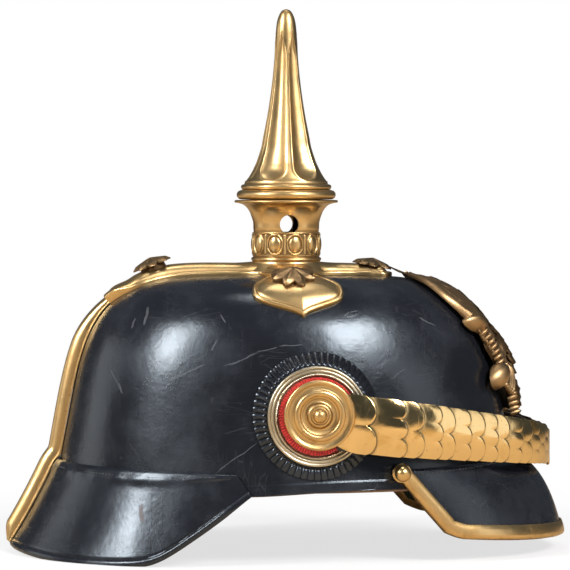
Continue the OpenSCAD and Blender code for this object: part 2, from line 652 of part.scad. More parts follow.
// Height of the relief: body, head, tail and ribbed wings
function bump(d, width) = exp(-d * d / (width * width));
function plate_relief(share, y) =
    8 * bump(y, 9) * bump(share - 0.22, 0.17) + 4 * bump(y, 5) * bump(share - 0.66, 0.1)
    + 5 * bump(y, 8) * bump(share - 0.05, 0.1)
    + (abs(y) > 12 ? 0.7 * (1 + cos(abs(y) * 60)) * bump(share - 0.5, 0.3) : 0);
function plate_point(row, c, grow) = let (t = plate_t(row[0]), y = c * row[1],
    z = brim_z + (dome_height + grow) * dome_rise(t),
    reach = (skull_half_length + grow) * dome_spread(t), side = (skull_half_width + grow) * dome_spread(t))
    [reach * sqrt(max(1 - pow(y / side, 2), 0)), y, z];
plate_screw_r = 1.6;
module plate_screw_hole() {
    translate([skull_half_length - 40, -plate_screw_y, plate_screw_z])
        rotate([0, 90, 0]) cylinder(r = plate_screw_r + screw_gap, h = 40);
}
function brow_x(y, z, grow) = dome_reach(z, grow) * sqrt(1 - pow(y / dome_side(z, grow), 2));
module front_plate() {
    cs = steps(-1, 1, plate_columns);
    color(bronze) union() {
        plate_between([for (r = plate_rows) [for (c = cs) plate_point(r, c, plate_gap)]],
            [for (r = plate_rows) [for (c = cs)
                plate_point(r, c, plate_gap + plate_wall + plate_relief(r[0], c * r[1]))]]);
        both_sides() translate([plate_nut_x - nut_wall - past, -plate_screw_y, plate_screw_z])
            rotate([0, 90, 0]) cylinder(r = plate_screw_r,
                h = brow_x(plate_screw_y, plate_screw_z, plate_gap + 1) - plate_nut_x + nut_wall + past);
    }
}
plate_nut_x = brow_x(plate_screw_y + nut_r, plate_screw_z, -skull_wall) - 0.4;
module plate_nuts() {
    color(brass) both_sides()
        translate([plate_nut_x - nut_wall, -plate_screw_y, plate_screw_z]) rotate([0, 90, 0]) difference() {
            cylinder(r = nut_r, h = nut_wall, $fn = 6);
            translate([0, 0, -past]) cylinder(r = plate_screw_r + screw_gap, h = nut_wall + 2 * past);
        }
}

// Side fittings are built on the wearer's right and mirrored to the left.
// at_pivot turns their axis outwards, with height 0 in the middle plane.
module at_pivot() {
    translate([pivot_x, 0, pivot_z]) rotate([90, 0, 0]) children();
}
module on_left() {
    mirror([0, 1, 0]) children();
}
function skull_y(x, z) = dome_side(z, seat_gap) * sqrt(1 - pow(x / dome_reach(z, seat_gap), 2));

// Pleated leather ring that lies on the skull round the cockade
module pleated_ring() {
    inner_r = cockade_inner_r - 3;
    flat_r = cockade_r + 0.4;
    sides = 2 * pleat_count;
    function across(r, a) = [pivot_x + r * cos(a), pivot_z + r * sin(a)];
    function back(r, a) = let (p = across(r, a)) skull_y(p[0], p[1]) + seat_gap;
    function at(r, a, y) = let (p = across(r, a)) [p[0], -y, p[1]];
    color(leather) ring_loop([for (k = [0 : sides - 1])
        let (a = -360 * k / sides, crest = k % 2 == 0 ? 0.6 : -0.5)
        [at(inner_r, a, back(inner_r, a)), at(inner_r, a, fitting_y - seat_gap),
            at(flat_r, a, fitting_y - seat_gap),
            at((flat_r + pleat_r) / 2, a, (fitting_y + back(pleat_r, a) + 2) / 2 + crest),
            at(pleat_r + crest / 2, a, back(pleat_r, a) + 1.2 + crest), at(pleat_r, a, back(pleat_r, a))]]);
}
module right_pleated_ring() { pleated_ring(); }
module left_pleated_ring() { on_left() pleated_ring(); }

// Cockade: a thin dish with a grooved rim
cockade_wall = 0.8;
cockade_rim = 2.7;
module cockade() {
    mid = (cockade_r + cockade_inner_r) / 2;
    color([0.75, 0.72, 0.66]) at_pivot() translate([0, 0, fitting_y]) rotate_extrude() polygon([
        [pivot_screw_r + 0.3, 0], [cockade_r, 0], [cockade_r, cockade_rim - 0.8], [cockade_r - 0.7, cockade_rim],
        [mid + 0.6, cockade_rim - 0.2], [mid, cockade_rim - 0.8], [mid - 0.6, cockade_rim - 0.2],
        [cockade_inner_r + 0.4, cockade_rim - 0.3], [cockade_inner_r, cockade_rim - 0.9],
        [cockade_inner_r, cockade_wall], [pivot_screw_r + 0.3, cockade_wall]]);
}
module right_cockade() { cockade(); }
module left_cockade() { on_left() cockade(); }

// Red cloth disc in the dish
red_wall = 1.2;
hub_r = 5.5;
module red_disc() {
    color([0.75, 0.1, 0.08]) at_pivot() translate([0, 0, fitting_y + cockade_wall + seat_gap]) difference() {
        cylinder(r = cockade_inner_r - 0.3, h = red_wall);
        translate([0, 0, -past]) cylinder(r = hub_r + 0.3, h = red_wall + 2 * past);
    }
}
module right_red_disc() { red_disc(); }
module left_red_disc() { on_left() red_disc(); }

// Rosette with its hub, which the strap turns on, and its screw
strap_y = fitting_y + cockade_rim + run_gap + strap_wall / 2;
rosette_back = strap_y + strap_wall / 2 + seat_gap + scale_wall + run_gap;
rosette_rise = 2.6;
module rosette() {
    color(brass) at_pivot() rotate_extrude() polygon(concat(
        [[0, pivot_screw_end], [pivot_screw_r, pivot_screw_end],
            [pivot_screw_r, fitting_y + cockade_wall + seat_gap], [hub_r, fitting_y + cockade_wall + seat_gap],
            [hub_r, rosette_back], [rosette_r - 0.6, rosette_back]],
        [for (a = steps(-60, 120, 5)) [rosette_r - 1 + cos(a), rosette_back + 1.2 + 1.1 * sin(a)]],
        [[rosette_r - 3.4, rosette_back + 1.2], [rosette_r * 0.72, rosette_back + 1.6]],
        [for (a = steps(30, 150, 4)) [rosette_r * 0.61 + 1.7 * cos(a), rosette_back + rosette_rise + 1.4 * sin(a)]],
        [[rosette_r * 0.48, rosette_back + 1.9], [rosette_r * 0.36, rosette_back + 2.1],
            [rosette_r * 0.34, rosette_back + 3.6]],
        [for (a = steps(5, 90, 5)) [4.6 * cos(a), rosette_back + 3.8 + 4.2 * sin(a)]]));
}
module right_rosette() { rosette(); }
module left_rosette() { on_left() rosette(); }

pivot_nut_r = 5;
pivot_nut_wall = 2;
pivot_nut_top = skull_y(pivot_x, pivot_z + pivot_nut_r) - skull_wall - 0.7;
pivot_screw_end = pivot_nut_top - pivot_nut_wall - 0.8;
module pivot_nut() {
    color(brass) at_pivot() translate([0, 0, pivot_nut_top - pivot_nut_wall]) difference() {
        cylinder(r = pivot_nut_r, h = pivot_nut_wall, $fn = 6);
        translate([0, 0, -past]) cylinder(r = pivot_screw_r + screw_gap, h = pivot_nut_wall + 2 * past);
    }
}
module right_pivot_nut() { pivot_nut(); }
module left_pivot_nut() { on_left() pivot_nut(); }

// Chin strap. Its middle line leaves the pivot forwards, bends beside the skull, runs
// straight and bends round the front, where it meets the middle plane at right angles.
strap_lead = cockade_r + 1.5;
front_rest = 90 - strap_bend;
lead_end = [pivot_x + strap_lead + strap_bend_r * sin(strap_bend),
    -strap_y + strap_bend_r * (1 - cos(strap_bend))];
// The straight and the front bend's radius follow from the reach and the half width
front_bend_r = (-lead_end[1] - (strap_reach - lead_end[0]) * tan(strap_bend))
    / (cos(strap_bend) - (1 - sin(strap_bend)) * tan(strap_bend));
straight = (strap_reach - lead_end[0] - front_bend_r * (1 - sin(strap_bend))) / cos(strap_bend);
straight_end = lead_end + straight * [cos(strap_bend), sin(strap_bend)];
front_centre_x = strap_reach - front_bend_r;
bend_length = strap_bend_r * strap_bend * PI / 180;
front_length = front_bend_r * front_rest * PI / 180;
strap_length = strap_lead + bend_length + straight + front_length;
// Place and heading of the middle line at a distance along it
function strap_at(s) =
    s < strap_lead ? [pivot_x + s, -strap_y, 0] :
    s < strap_lead + bend_length ? let (h = (s - strap_lead) / bend_length * strap_bend)
        [pivot_x + strap_lead + strap_bend_r * sin(h), -strap_y + strap_bend_r * (1 - cos(h)), h] :
    s < strap_length - front_length ? let (d = s - strap_lead - bend_length)
        [lead_end[0] + d * cos(strap_bend), lead_end[1] + d * sin(strap_bend), strap_bend] :
    let (h = strap_bend + (s - strap_length + front_length) / front_bend_r * 180 / PI)
        [front_centre_x + front_bend_r * sin(h), -front_bend_r * cos(h), h];
function strap_mid_z(s) = mix(pivot_z, strap_front_z, s / strap_length);
function strap_half(s) = mix(strap_width, strap_front_width, s / strap_length) / 2;

// Sector of a ring round a point of the plan
module sector(centre, r_in, r_out, from, to) {
    translate([centre[0], centre[1], 0]) rotate([0, 0, from]) rotate_extrude(angle = to - from, $fn = 96)
        translate([r_in, 0]) square([r_out - r_in, 150]);
}
module strap_block(from, heading, length, wall) {
    translate([from[0], from[1], 0]) rotate([0, 0, heading])
        translate([-0.1, -wall / 2, 0]) cube([length + 0.2, wall, 150]);
}
// Strap leather from the pivot to an angle past or short of the middle plane
module strap_leather(end_angle) {
    w = strap_wall / 2;
    at_pivot() translate([0, 0, strap_y - w]) cylinder(r = strap_width / 2 - 0.5, h = strap_wall);
    intersection() {
        union() {
            strap_block([pivot_x, -strap_y], 0, strap_lead, strap_wall);
            sector([pivot_x + strap_lead, -strap_y + strap_bend_r], strap_bend_r - w, strap_bend_r + w,
                -90, -90 + strap_bend);
            strap_block(lead_end, strap_bend, straight, strap_wall);
            sector([front_centre_x, 0], front_bend_r - w, front_bend_r + w, -front_rest, end_angle);
        }
        strap_outline(0.8);
    }
}
// Side view of the strap as a thick slab, which cuts the leather to its tapered height
module strap_outline(inset) {
    marks = steps(0, strap_length, 12);
    translate([0, 150, 0]) rotate([90, 0, 0]) linear_extrude(300) polygon(concat(
        [for (s = marks) [strap_at(s)[0] + (s == strap_length ? 5 : 0), strap_mid_z(s) + strap_half(s) - inset]],
        [for (i = [len(marks) - 1 : -1 : 0]) let (s = marks[i])
            [strap_at(s)[0] + (s == strap_length ? 5 : 0), strap_mid_z(s) - strap_half(s) + inset]]));
}
module pivot_bore() {
    at_pivot() cylinder(r = hub_r + screw_gap, h = 150);
}

tongue_angle = 20;
band_gap = 11;
module right_strap() {
    shift = strap_wall + run_gap;
    low = strap_front_z - 6.5;
    stop = -asin((band_gap - 2) / front_bend_r);
    color(leather) difference() {
        union() {
            strap_leather(stop);
            intersection() {
                union() {
                    sector([front_centre_x, 0], front_bend_r - shift - strap_wall / 2,
                        front_bend_r - shift + strap_wall / 2, stop * 2.2, tongue_angle);
                    sector([front_centre_x, 0], front_bend_r - shift + strap_wall / 2 - 0.1,
                        front_bend_r - strap_wall / 2 + 0.1, stop * 2.2, stop * 1.2);
                }
                translate([0, -100, low]) cube([200, 200, 13]);
            }
        }
        pivot_bore();
        buckle_turn(-prong_reach) rotate([0, 90, 0]) cylinder(r = 1.3, h = 20, center = true);
    }
}
module left_strap() {
    color(leather) difference() {
        union() {
            on_left() strap_leather(-asin(2 / front_bend_r));
            for (z = [-6.5, 2.5]) buckle_turn(5) translate([strap_wall / 2 - 0.1, -2, z])
                cube([frame_out - strap_wall / 2 + bar_r + 0.9, 4, 4]);
        }
        on_left() pivot_bore();
        buckle_turn(5) translate([frame_out, 0, -20]) cylinder(r = bar_r + screw_gap, h = 40);
    }
}

// Convex brass scales with two or three lobes in turn, each lapping the next. scale_ends
// are the distances of their lobed edges from the pivot, along the strap.
scale_ends = [27.5, 42, 51, 61.5, 70, 81, 90.5, 99.5, 107.5, 117, 125.5, 134, 142.5, 151, 159.3];
scale_bow_r = 34;
scale_lap = 2.6;
module one_scale(i) {
    far = scale_ends[i];
    near = i == 0 ? rosette_r + 0.6 : scale_ends[i - 1] - scale_lap;
    p = strap_at((near + far) / 2);
    half = strap_half(far);
    length = far - near;
    lobes = i % 2 == 0 ? 2 : 3;
    lobe_r = half / lobes * 1.06;
    slope = atan((strap_mid_z(far) - strap_mid_z(near)) / length);
    lift = strap_wall / 2 + seat_gap;
    translate([p[0], p[1], strap_mid_z((near + far) / 2)]) rotate([0, 0, p[2]]) rotate([0, -slope, 0])
        translate([-length / 2, -lift, 0]) rotate([0, 0, -scale_tilt]) intersection() {
            translate([0, 30, 0]) rotate([90, 0, 0]) linear_extrude(60) intersection() {
                translate([0, -half]) square([length, 2 * half]);
                union() {
                    translate([0, -half]) square([length - lobe_r, 2 * half]);
                    for (k = [0 : lobes - 1])
                        translate([length - lobe_r, half * (2 * k + 1 - lobes) / lobes]) circle(r = lobe_r);
                }
            }
            translate([-length, scale_bow_r - bow(half), 0]) rotate([0, 90, 0]) difference() {
                cylinder(r = scale_bow_r + scale_wall, h = 2 * length);
                translate([0, 0, -past]) cylinder(r = scale_bow_r, h = 2 * length + 2 * past);
            }
        }
}
function bow(half) = scale_bow_r - sqrt(scale_bow_r * scale_bow_r - half * half);
scale_tilt = 6.8;
module scales() {
    color(brass) {
        for (i = [0 : len(scale_ends) - 1]) one_scale(i);
        difference() {
            at_pivot() translate([0, 0, strap_y + strap_wall / 2 + seat_gap])
                cylinder(r = strap_width / 2, h = scale_wall);
            pivot_bore();
        }
    }
}
module right_scales() { scales(); }
module left_scales() { on_left() scales(); }

// Buckle in front: a frame on the left strap, a keeper and a hooked prong
bar_r = 0.9;
loop_wall = 0.7;
frame_out = strap_wall / 2 + bar_r + screw_gap + loop_wall + run_gap;
buckle_half = 8.5;
prong_reach = 7;
module buckle_turn(y) {
    a = asin(y / front_bend_r);
    translate([front_centre_x, 0, strap_front_z]) rotate([0, 0, a]) translate([front_bend_r, 0, 0]) children();
}
module upright_bar(y, half) {
    buckle_turn(y) translate([frame_out, 0, -half]) cylinder(r = bar_r, h = 2 * half);
}
module buckle_frame() {
    reach = asin(9 / front_bend_r);
    color(brass) union() {
        upright_bar(5, buckle_half + bar_r);
        upright_bar(-9, buckle_half + bar_r);
        for (z = [-buckle_half, buckle_half])
            translate([front_centre_x, 0, strap_front_z + z]) rotate([0, 0, -reach])
                rotate_extrude(angle = reach + asin(5 / front_bend_r), $fn = 96)
                    translate([front_bend_r + frame_out, 0]) circle(r = bar_r - 0.15, $fn = 24);
    }
}
keeper_y = 9.2;
module strap_keeper() {
    inner = strap_wall * 1.5 + run_gap * 2.5;
    from_front = strap_length - keeper_y;
    half = strap_half(from_front) - 0.1;
    rise = strap_mid_z(from_front) - strap_front_z;
    color(leather) buckle_turn(keeper_y) translate([0, 0, rise]) difference() {
        translate([-inner - 1, -2, -half - 1]) cube([inner + 2.4, 2.4, 2 * half + 2]);
        translate([-inner, -3, -half]) cube([inner + strap_wall / 2 + seat_gap, 6, 2 * half]);
    }
}
module buckle_prong() {
    loop_r = bar_r + screw_gap;
    color(brass) buckle_turn(5) translate([frame_out, 0, 0]) difference() {
        union() {
            translate([0, 0, -1.2]) cylinder(r = loop_r + loop_wall, h = 2.4);
            rotate([90, 0, -4]) cylinder(r = 0.7, h = prong_reach + 5);
            translate([0, -prong_reach - 4.9, 0]) rotate([0, -90, 0]) cylinder(r = 0.7, h = frame_out + 1);
        }
        translate([0, 0, -5]) cylinder(r = loop_r, h = 10);
    }
}

// Leather sweatband stitched round the inside of the brim
band_wall = 1.4;
band_high_z = 66;
module sweatband() {
    zs = [brim_z - 1, brim_z + 8, brim_z + 18, band_high_z];
    function ring(z, grow) = dome_ring(dome_reach(z, grow), dome_side(z, grow), z);
    out = -skull_wall - 0.3;
    color(brown_leather) ring_loop(concat([for (z = zs) ring(z, out - band_wall)],
        [for (z = backwards(zs)) ring(z, out)]));
}

// Soft leather fingers that rise from the sweatband and are drawn together by a cord
finger_count = 8;
finger_wall = 1.2;
finger_path = [[band_high_z - 5, 4.8, 4.8], [66, 9.4, 8.6], [74, 11.4, 9.8], [84, 16, 13.8], [94, 24, 20.6],
    [103, 36, 31], [109, 50, 43], [112, 62, 53.3]];
module crown_liner() {
    function ring(p, inset) = dome_ring(
        dome_reach(p[0], 0) - p[1] - inset, dome_side(p[0], 0) - p[2] - inset, p[0] - inset * 0.5);
    color(brown_leather) difference() {
        ring_loop(concat([for (p = finger_path) ring(p, finger_wall)],
            [for (p = backwards(finger_path)) ring(p, 0)]));
        for (i = [0 : finger_count - 1])
            rotate([0, 0, 360 * (i + 0.5) / finger_count]) translate([20, -2.2, 80]) cube([120, 4.4, 60]);
    }
}
module liner_cord() {
    p = finger_path[6];
    cord_r = 1;
    reach = dome_reach(p[0], 0) - p[1] - 1;
    side = dome_side(p[0], 0) - p[2] - 1;
    z = p[0] + cord_r + 0.9;
    color([0.85, 0.8, 0.68]) ring_loop([for (j = [0 : 31]) let (a = 360 * j / 32)
        [for (k = [0 : 5]) [(reach + cord_r * cos(60 * k)) * cos(a), (side + cord_r * cos(60 * k)) * sin(a),
            z + cord_r * sin(60 * k)]]]);
}

skull_shell();
front_visor();
visor_lining();
neck_guard();
guard_lining();
visor_trim();
trim_screws();
rear_spine();
spine_rivets();
cross_base();
star_screws();
star_nuts();
spike_neck();
jewel_band();
front_plate();
plate_nuts();
right_pleated_ring();
left_pleated_ring();
right_cockade();
left_cockade();
right_red_disc();
left_red_disc();
right_rosette();
left_rosette();
right_pivot_nut();
left_pivot_nut();
sweatband();
crown_liner();
liner_cord();
spike_washer();
spike();
right_strap();
right_scales();
left_strap();
left_scales();
buckle_frame();
strap_keeper();
buckle_prong();
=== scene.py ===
"""Looks of a spiked leather helmet, laid out as an add-on and run as a script."""
import json
import math

import bmesh
import bpy
import numpy as np
from bpy.props import FloatProperty, FloatVectorProperty, IntProperty, PointerProperty
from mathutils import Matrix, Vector

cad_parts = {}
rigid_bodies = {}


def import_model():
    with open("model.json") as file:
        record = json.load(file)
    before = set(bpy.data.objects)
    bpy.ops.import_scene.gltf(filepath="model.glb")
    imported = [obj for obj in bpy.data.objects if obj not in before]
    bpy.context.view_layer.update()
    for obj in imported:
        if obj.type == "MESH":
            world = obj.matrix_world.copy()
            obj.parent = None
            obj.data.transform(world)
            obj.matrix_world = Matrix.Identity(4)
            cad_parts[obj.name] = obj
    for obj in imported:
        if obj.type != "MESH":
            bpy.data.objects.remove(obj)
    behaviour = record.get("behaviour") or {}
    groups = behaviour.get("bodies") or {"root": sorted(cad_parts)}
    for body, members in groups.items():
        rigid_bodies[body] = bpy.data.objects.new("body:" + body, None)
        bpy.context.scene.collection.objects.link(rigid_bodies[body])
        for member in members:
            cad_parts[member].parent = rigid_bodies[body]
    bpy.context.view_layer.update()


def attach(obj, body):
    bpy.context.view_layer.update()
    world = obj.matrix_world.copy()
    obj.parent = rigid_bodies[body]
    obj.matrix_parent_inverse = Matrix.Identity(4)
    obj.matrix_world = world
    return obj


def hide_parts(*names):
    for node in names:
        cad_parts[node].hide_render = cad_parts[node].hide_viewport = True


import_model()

bl_info = {
    "name": "Spiked Leather Helmet",
    "version": (1, 0, 0),
    "blender": (4, 5, 0),
    "location": "3D View > Sidebar > Helmet",
    "description": "Builds the looks of a spiked leather helmet around its CAD frame",
    "category": "Add Mesh",
}

# Shapes are worked out in millimetres, front +X, wearer's left +Y, up +Z
MM = 0.001
PI = math.pi
# Skull: half length, half width, brim, height over the brim, roundness and lean of its wall
LENGTH, WIDTH, BRIM, HEIGHT, POWER, LEAN = 117.0, 87.0, 36.0, 103.0, 5.3, 0.155
CROWN = BRIM + HEIGHT
# Thickness of leather and lining, gap over a lining, gap under a seated piece
WALL, LINING, SKIN_GAP, SEAT_GAP = 2.4, 0.8, 0.3, 0.1
# Chin strap's pivot, and the cockade's and the strap's distance from the middle plane
PIVOT_X, PIVOT_Z, FITTING_Y, STRAP_Y = 6.8, 72.8, 86.5, 90.4
# Neck, from its foot and the beaded band to the lip and the spike's seat
NECK_FOOT, BAND_TOP, BAND_R, LIP_Z, LIP_R, SEAT = 148.6, 161.0, 16.7, 176.0, 26.4, 177.6
SPIKE_FOOT = SEAT + 1.1
SIDES = {"right": -1, "left": 1}
LOOKS = {}


# ---------------------------------------------------------------- arithmetic
def mm(value):
    """Millimetres of a property that is kept in metres."""
    return value / MM


def xyz(x, y, z):
    """Points from their coordinates."""
    return np.stack(np.broadcast_arrays(x, y, z), axis=-1).astype(float)


def unit(v):
    """Vectors at length one."""
    return v / np.linalg.norm(v, axis=-1, keepdims=True)


def mix(a, b, t):
    """Value between a and b."""
    return a * (1 - t) + b * t


def smooth(t):
    """Step from 0 to 1 with soft ends."""
    t = np.clip(t, 0, 1)
    return t * t * (3 - 2 * t)


def bump(d, width):
    """Round hump, 1 in its middle."""
    return np.exp(-(d / width) ** 2)


def arc(centre_r, centre_h, radius, start, end, count):
    """Points of an arc in a lathe's profile, angles in degrees."""
    a = np.radians(np.linspace(start, end, count))
    return [(centre_r + radius * math.cos(t), centre_h + radius * math.sin(t)) for t in a]


def spline(table, at):
    """Smooth values between the rows of a table whose first column is the key."""
    table = np.asarray(table, float)
    keys, values = table[:, 0], table[:, 1:]
    slope = np.gradient(values, keys, axis=0)
    i = np.clip(np.searchsorted(keys, at) - 1, 0, len(keys) - 2)
    span = keys[i + 1] - keys[i]
    s = np.clip((at - keys[i]) / span, 0, 1)[..., None]
    h = span[..., None]
    return ((2 * s**3 - 3 * s**2 + 1) * values[i] + (s**3 - 2 * s**2 + s) * h * slope[i]
            + (3 * s**2 - 2 * s**3) * values[i + 1] + (s**3 - s**2) * h * slope[i + 1])


def unevenness(p):
    """Gentle waves of hand-blocked leather, from -1 to 1."""
    x, y, z = p[..., 0], p[..., 1], p[..., 2]
    return (np.sin(x / 17 + 1.3) * np.sin(y / 15 + z / 31) + np.sin(z / 12 - x / 23 + 0.7) * np.cos(y / 19)
            + np.sin(x / 9 + z / 11) * np.sin(y / 10 - 0.6) * 0.5) / 2.5


# ---------------------------------------------------------------- the skull's form
def rise_and_spread(t):
    """Share of the skull's height and of its width at a step t of its climb."""
    rise = np.sin(t) ** (2 / POWER)
    return rise, np.cos(t) ** (2 / POWER) * (1 - LEAN * rise)


def dome(t, a, grow=0.0):
    """Skin of the skull: t climbs from 0 at the brim to a right angle at the crown."""
    rise, spread = rise_and_spread(t)
    return xyz((LENGTH + grow) * spread * np.cos(a), (WIDTH + grow) * spread * np.sin(a),
               BRIM + (HEIGHT + grow) * rise)


def dome_reach(z, grow=0.0):
    """Half the skull's length at a height."""
    s = np.clip((z - BRIM) / (HEIGHT + grow), 0, 1)
    return (LENGTH + grow) * (1 - LEAN * s) * (1 - s**POWER) ** (1 / POWER)


def dome_side(z, grow=0.0):
    """Half the skull's width at a height."""
    return dome_reach(z, grow) * (WIDTH + grow) / (LENGTH + grow)


def dome_top(x, y, grow=0.0):
    """Height of the skull over a point of the plan."""
    low = np.full(np.broadcast(x, y).shape, BRIM)
    high = np.full_like(low, CROWN + grow)
    for _ in range(32):
        z = (low + high) / 2
        reach = np.maximum(dome_reach(z, grow), 0.01)
        side = np.maximum(dome_side(z, grow), 0.01)
        inside = (x / reach) ** 2 + (y / side) ** 2 < 1
        low, high = np.where(inside, z, low), np.where(inside, high, z)
    return (low + high) / 2


def dome_normal(x, y):
    """Direction out of the skull over a point of the plan."""
    step = 0.4
    dx = (dome_top(x + step, y) - dome_top(x - step, y)) / (2 * step)
    dy = (dome_top(x, y + step) - dome_top(x, y - step)) / (2 * step)
    return unit(xyz(-dx, -dy, 1.0))


def run_along(points):
    """Distance along a path at each of its points."""
    return np.concatenate([[0], np.cumsum(np.linalg.norm(np.diff(points, axis=0), axis=1))])


def between(at, run, points):
    """Points at some distances along a path."""
    return np.stack([np.interp(at, run, column) for column in points.T], -1)


def climb(count, start_z, stop_reach):
    """Steps of t up the skull, evenly spaced along its front, and the length of that climb."""
    t = np.arcsin(np.linspace(((start_z - BRIM) / HEIGHT) ** (POWER / 2), 1, 6000)[:-1])
    p = dome(t, 0.0)
    keep = p[:, 0] > stop_reach
    t, p = t[keep], p[keep]
    run = run_along(p)
    return np.interp(np.linspace(0, run[-1], count), run, t), run[-1]


def bend(a, m, b, t):
    """Point of a curve from a to b that is drawn towards m."""
    t = np.asarray(t)[..., None]
    return a * (1 - t) ** 2 + m * 2 * t * (1 - t) + b * t * t


# ---------------------------------------------------------------- visor and neck guard
VISOR_SEAM_Z, VISOR_SEAM_TURN, VISOR_DROP = 45.5, math.radians(67.2), 3.2
VISOR_REACH, VISOR_SIDE, VISOR_RIM_Z, VISOR_CURVE = 139.5, 74.0, 7.5, 45.0
VISOR_HALF = math.acos((VISOR_SIDE - VISOR_CURVE) / (VISOR_REACH - VISOR_CURVE))
GUARD_SEAM_Z, GUARD_SEAM_TURN, GUARD_RIM_TURN = 46.0, math.radians(74), 79.5
GUARD_REACH, GUARD_SIDE = 138.5, 97.0
# The guard's rim rises along this slope from this place on
GUARD_SLOPE, GUARD_RISE_X = 0.743, -72.0


def visor_point(u, v):
    """Visor's inner face: u from -1 to 1 across, v from 0 at the seam to 1 at the rim."""
    u, v = np.broadcast_arrays(np.asarray(u, float), np.asarray(v, float))
    a = u * VISOR_SEAM_TURN
    seam = xyz(dome_reach(VISOR_SEAM_Z, SEAT_GAP) * np.cos(a), dome_side(VISOR_SEAM_Z, SEAT_GAP) * np.sin(a),
               VISOR_SEAM_Z)
    a = u * VISOR_HALF
    rim = xyz(VISOR_CURVE + (VISOR_REACH - VISOR_CURVE) * np.cos(a),
              VISOR_SIDE * np.sin(a) / math.sin(VISOR_HALF), VISOR_RIM_Z + 5 * u * u)
    w = (1 - u * u)[..., None]
    m = mix(seam, rim, 0.5 + 0.16 * w)
    m[..., 2] = mix((seam[..., 2] + rim[..., 2]) / 2, seam[..., 2] - VISOR_DROP, w[..., 0])
    return bend(seam, m, rim, v)


def guard_point(u, v):
    """Neck guard's inner face, as visor_point."""
    u, v = np.broadcast_arrays(np.asarray(u, float), np.asarray(v, float))
    a = u * GUARD_SEAM_TURN
    z = GUARD_SEAM_Z - 2 * u * u
    seam = xyz(-dome_reach(z, SEAT_GAP) * np.cos(a), dome_side(z, SEAT_GAP) * np.sin(a), z)
    a = u * GUARD_RIM_TURN
    x = -GUARD_REACH * np.cos(np.radians(a))
    rise = GUARD_SLOPE * (x - GUARD_RISE_X)
    z = (rise + np.sqrt(rise * rise + 44)) / 2 + 4 * (1 - smooth(abs(a) / 45)) - 1.3
    rim = xyz(x, (GUARD_SIDE - 8.5 * smooth((abs(a) - 50) / 29.5)) * np.sin(np.radians(a)),
              z + 0.5 * smooth((abs(a) - 70) / 9.5))
    m = mix(seam, rim, 0.42)
    m[..., 2] = (seam[..., 2] + rim[..., 2]) / 2
    return bend(seam, m, rim, v)


def sheet(point, u, v, offset):
    """Points at a distance out of the visor's or the guard's inner face, and the direction out."""
    e = 0.005
    du = point(u + e, v) - point(u - e, v)
    dv = point(u, v + e) - point(u, v - e)
    n = unit(np.cross(dv, du) if point is visor_point else np.cross(du, dv))
    return point(u, v) + n * np.asarray(offset)[..., None], n


def visor_end(u):
    """How far down the visor runs: a little less at its rounded corners."""
    return 1 - 0.08 * np.clip((abs(u) - 0.93) / 0.07, 0, 1) ** 2


# ---------------------------------------------------------------- mesh making
class Solid:
    """Points in millimetres and faces of one piece, with a shade from 0 to 1 at each point."""

    def __init__(self):
        self.points, self.faces, self.shades, self.count = [], [], [], 0

    def loft(self, rows, looped=False, shade=0.0):
        """Skin over closed sections. looped joins the last section to the first, or both are capped."""
        rows = np.asarray(rows, float)
        n, m = rows.shape[:2]
        at = self.count + np.arange(n * m).reshape(n, m)
        caps = [] if looped else [at[0, ::-1].tolist(), at[-1].tolist()]
        at = np.concatenate([at, at[:1]]) if looped else at
        far = np.roll(at, -1, axis=1)
        self.faces += np.stack([at[:-1], far[:-1], far[1:], at[1:]], -1).reshape(-1, 4).tolist() + caps
        self.points.append(rows.reshape(-1, 3))
        self.shades.append(np.broadcast_to(shade, (n, m)).reshape(-1))
        self.count += n * m

    def shell(self, top, low, shade=0.0, under=0.0, looped=False):
        """Skin over a sheet of points and a lower sheet that runs back under it, each with its shade."""
        shades = [np.broadcast_to(value, part.shape[:2]) for value, part in ((shade, top), (under, low))]
        self.loft(np.concatenate([top, low], axis=1), looped, np.concatenate(shades, axis=1))

    def lathe(self, profile, place, count=96, shade=0.0):
        """Turns a closed profile of radius and height. place maps (r, angle, height) to points."""
        r, h = np.asarray(profile, float).T
        self.loft(place(r[None, :], turns(count), h[None, :]), looped=True, shade=shade)

    def make(self, name, look, body, nodes, sharp=38, slot=None):
        """Makes the piece. Its slot argument is not used."""
        slot = slot or look
        mesh = bpy.data.meshes.new(name)
        mesh.from_pydata((np.concatenate(self.points) * MM).tolist(), [], self.faces)
        bm = bmesh.new()
        bm.from_mesh(mesh)
        bmesh.ops.recalc_face_normals(bm, faces=bm.faces)
        bm.to_mesh(mesh)
        bm.free()
        shade = mesh.attributes.new("shade", "FLOAT", "POINT")
        shade.data.foreach_set("value", np.concatenate(self.shades).astype(np.float32))
        mesh.shade_smooth()
        mesh.set_sharp_from_angle(angle=math.radians(sharp))
        mesh.materials.append(finishes(bpy.context)[look])
        piece = bpy.data.objects.new(name, mesh)
        bpy.context.scene.collection.objects.link(piece)
        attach(piece, body)
        if nodes:
            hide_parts(*nodes)
        return piece


def turns(count):
    """Angles round a full turn, one to a row."""
    return np.linspace(0, 2 * PI, count, endpoint=False)[:, None]


def upright(r, a, h):
    """Lathe about the spike's axis."""
    return xyz(r * np.cos(a), r * np.sin(a), h)


def at_pivot(side):
    """Lathe about a chin scale's pivot; height is the distance from the middle plane."""
    return lambda r, a, h: xyz(PIVOT_X + r * np.cos(a), side * h, PIVOT_Z + r * np.sin(a))


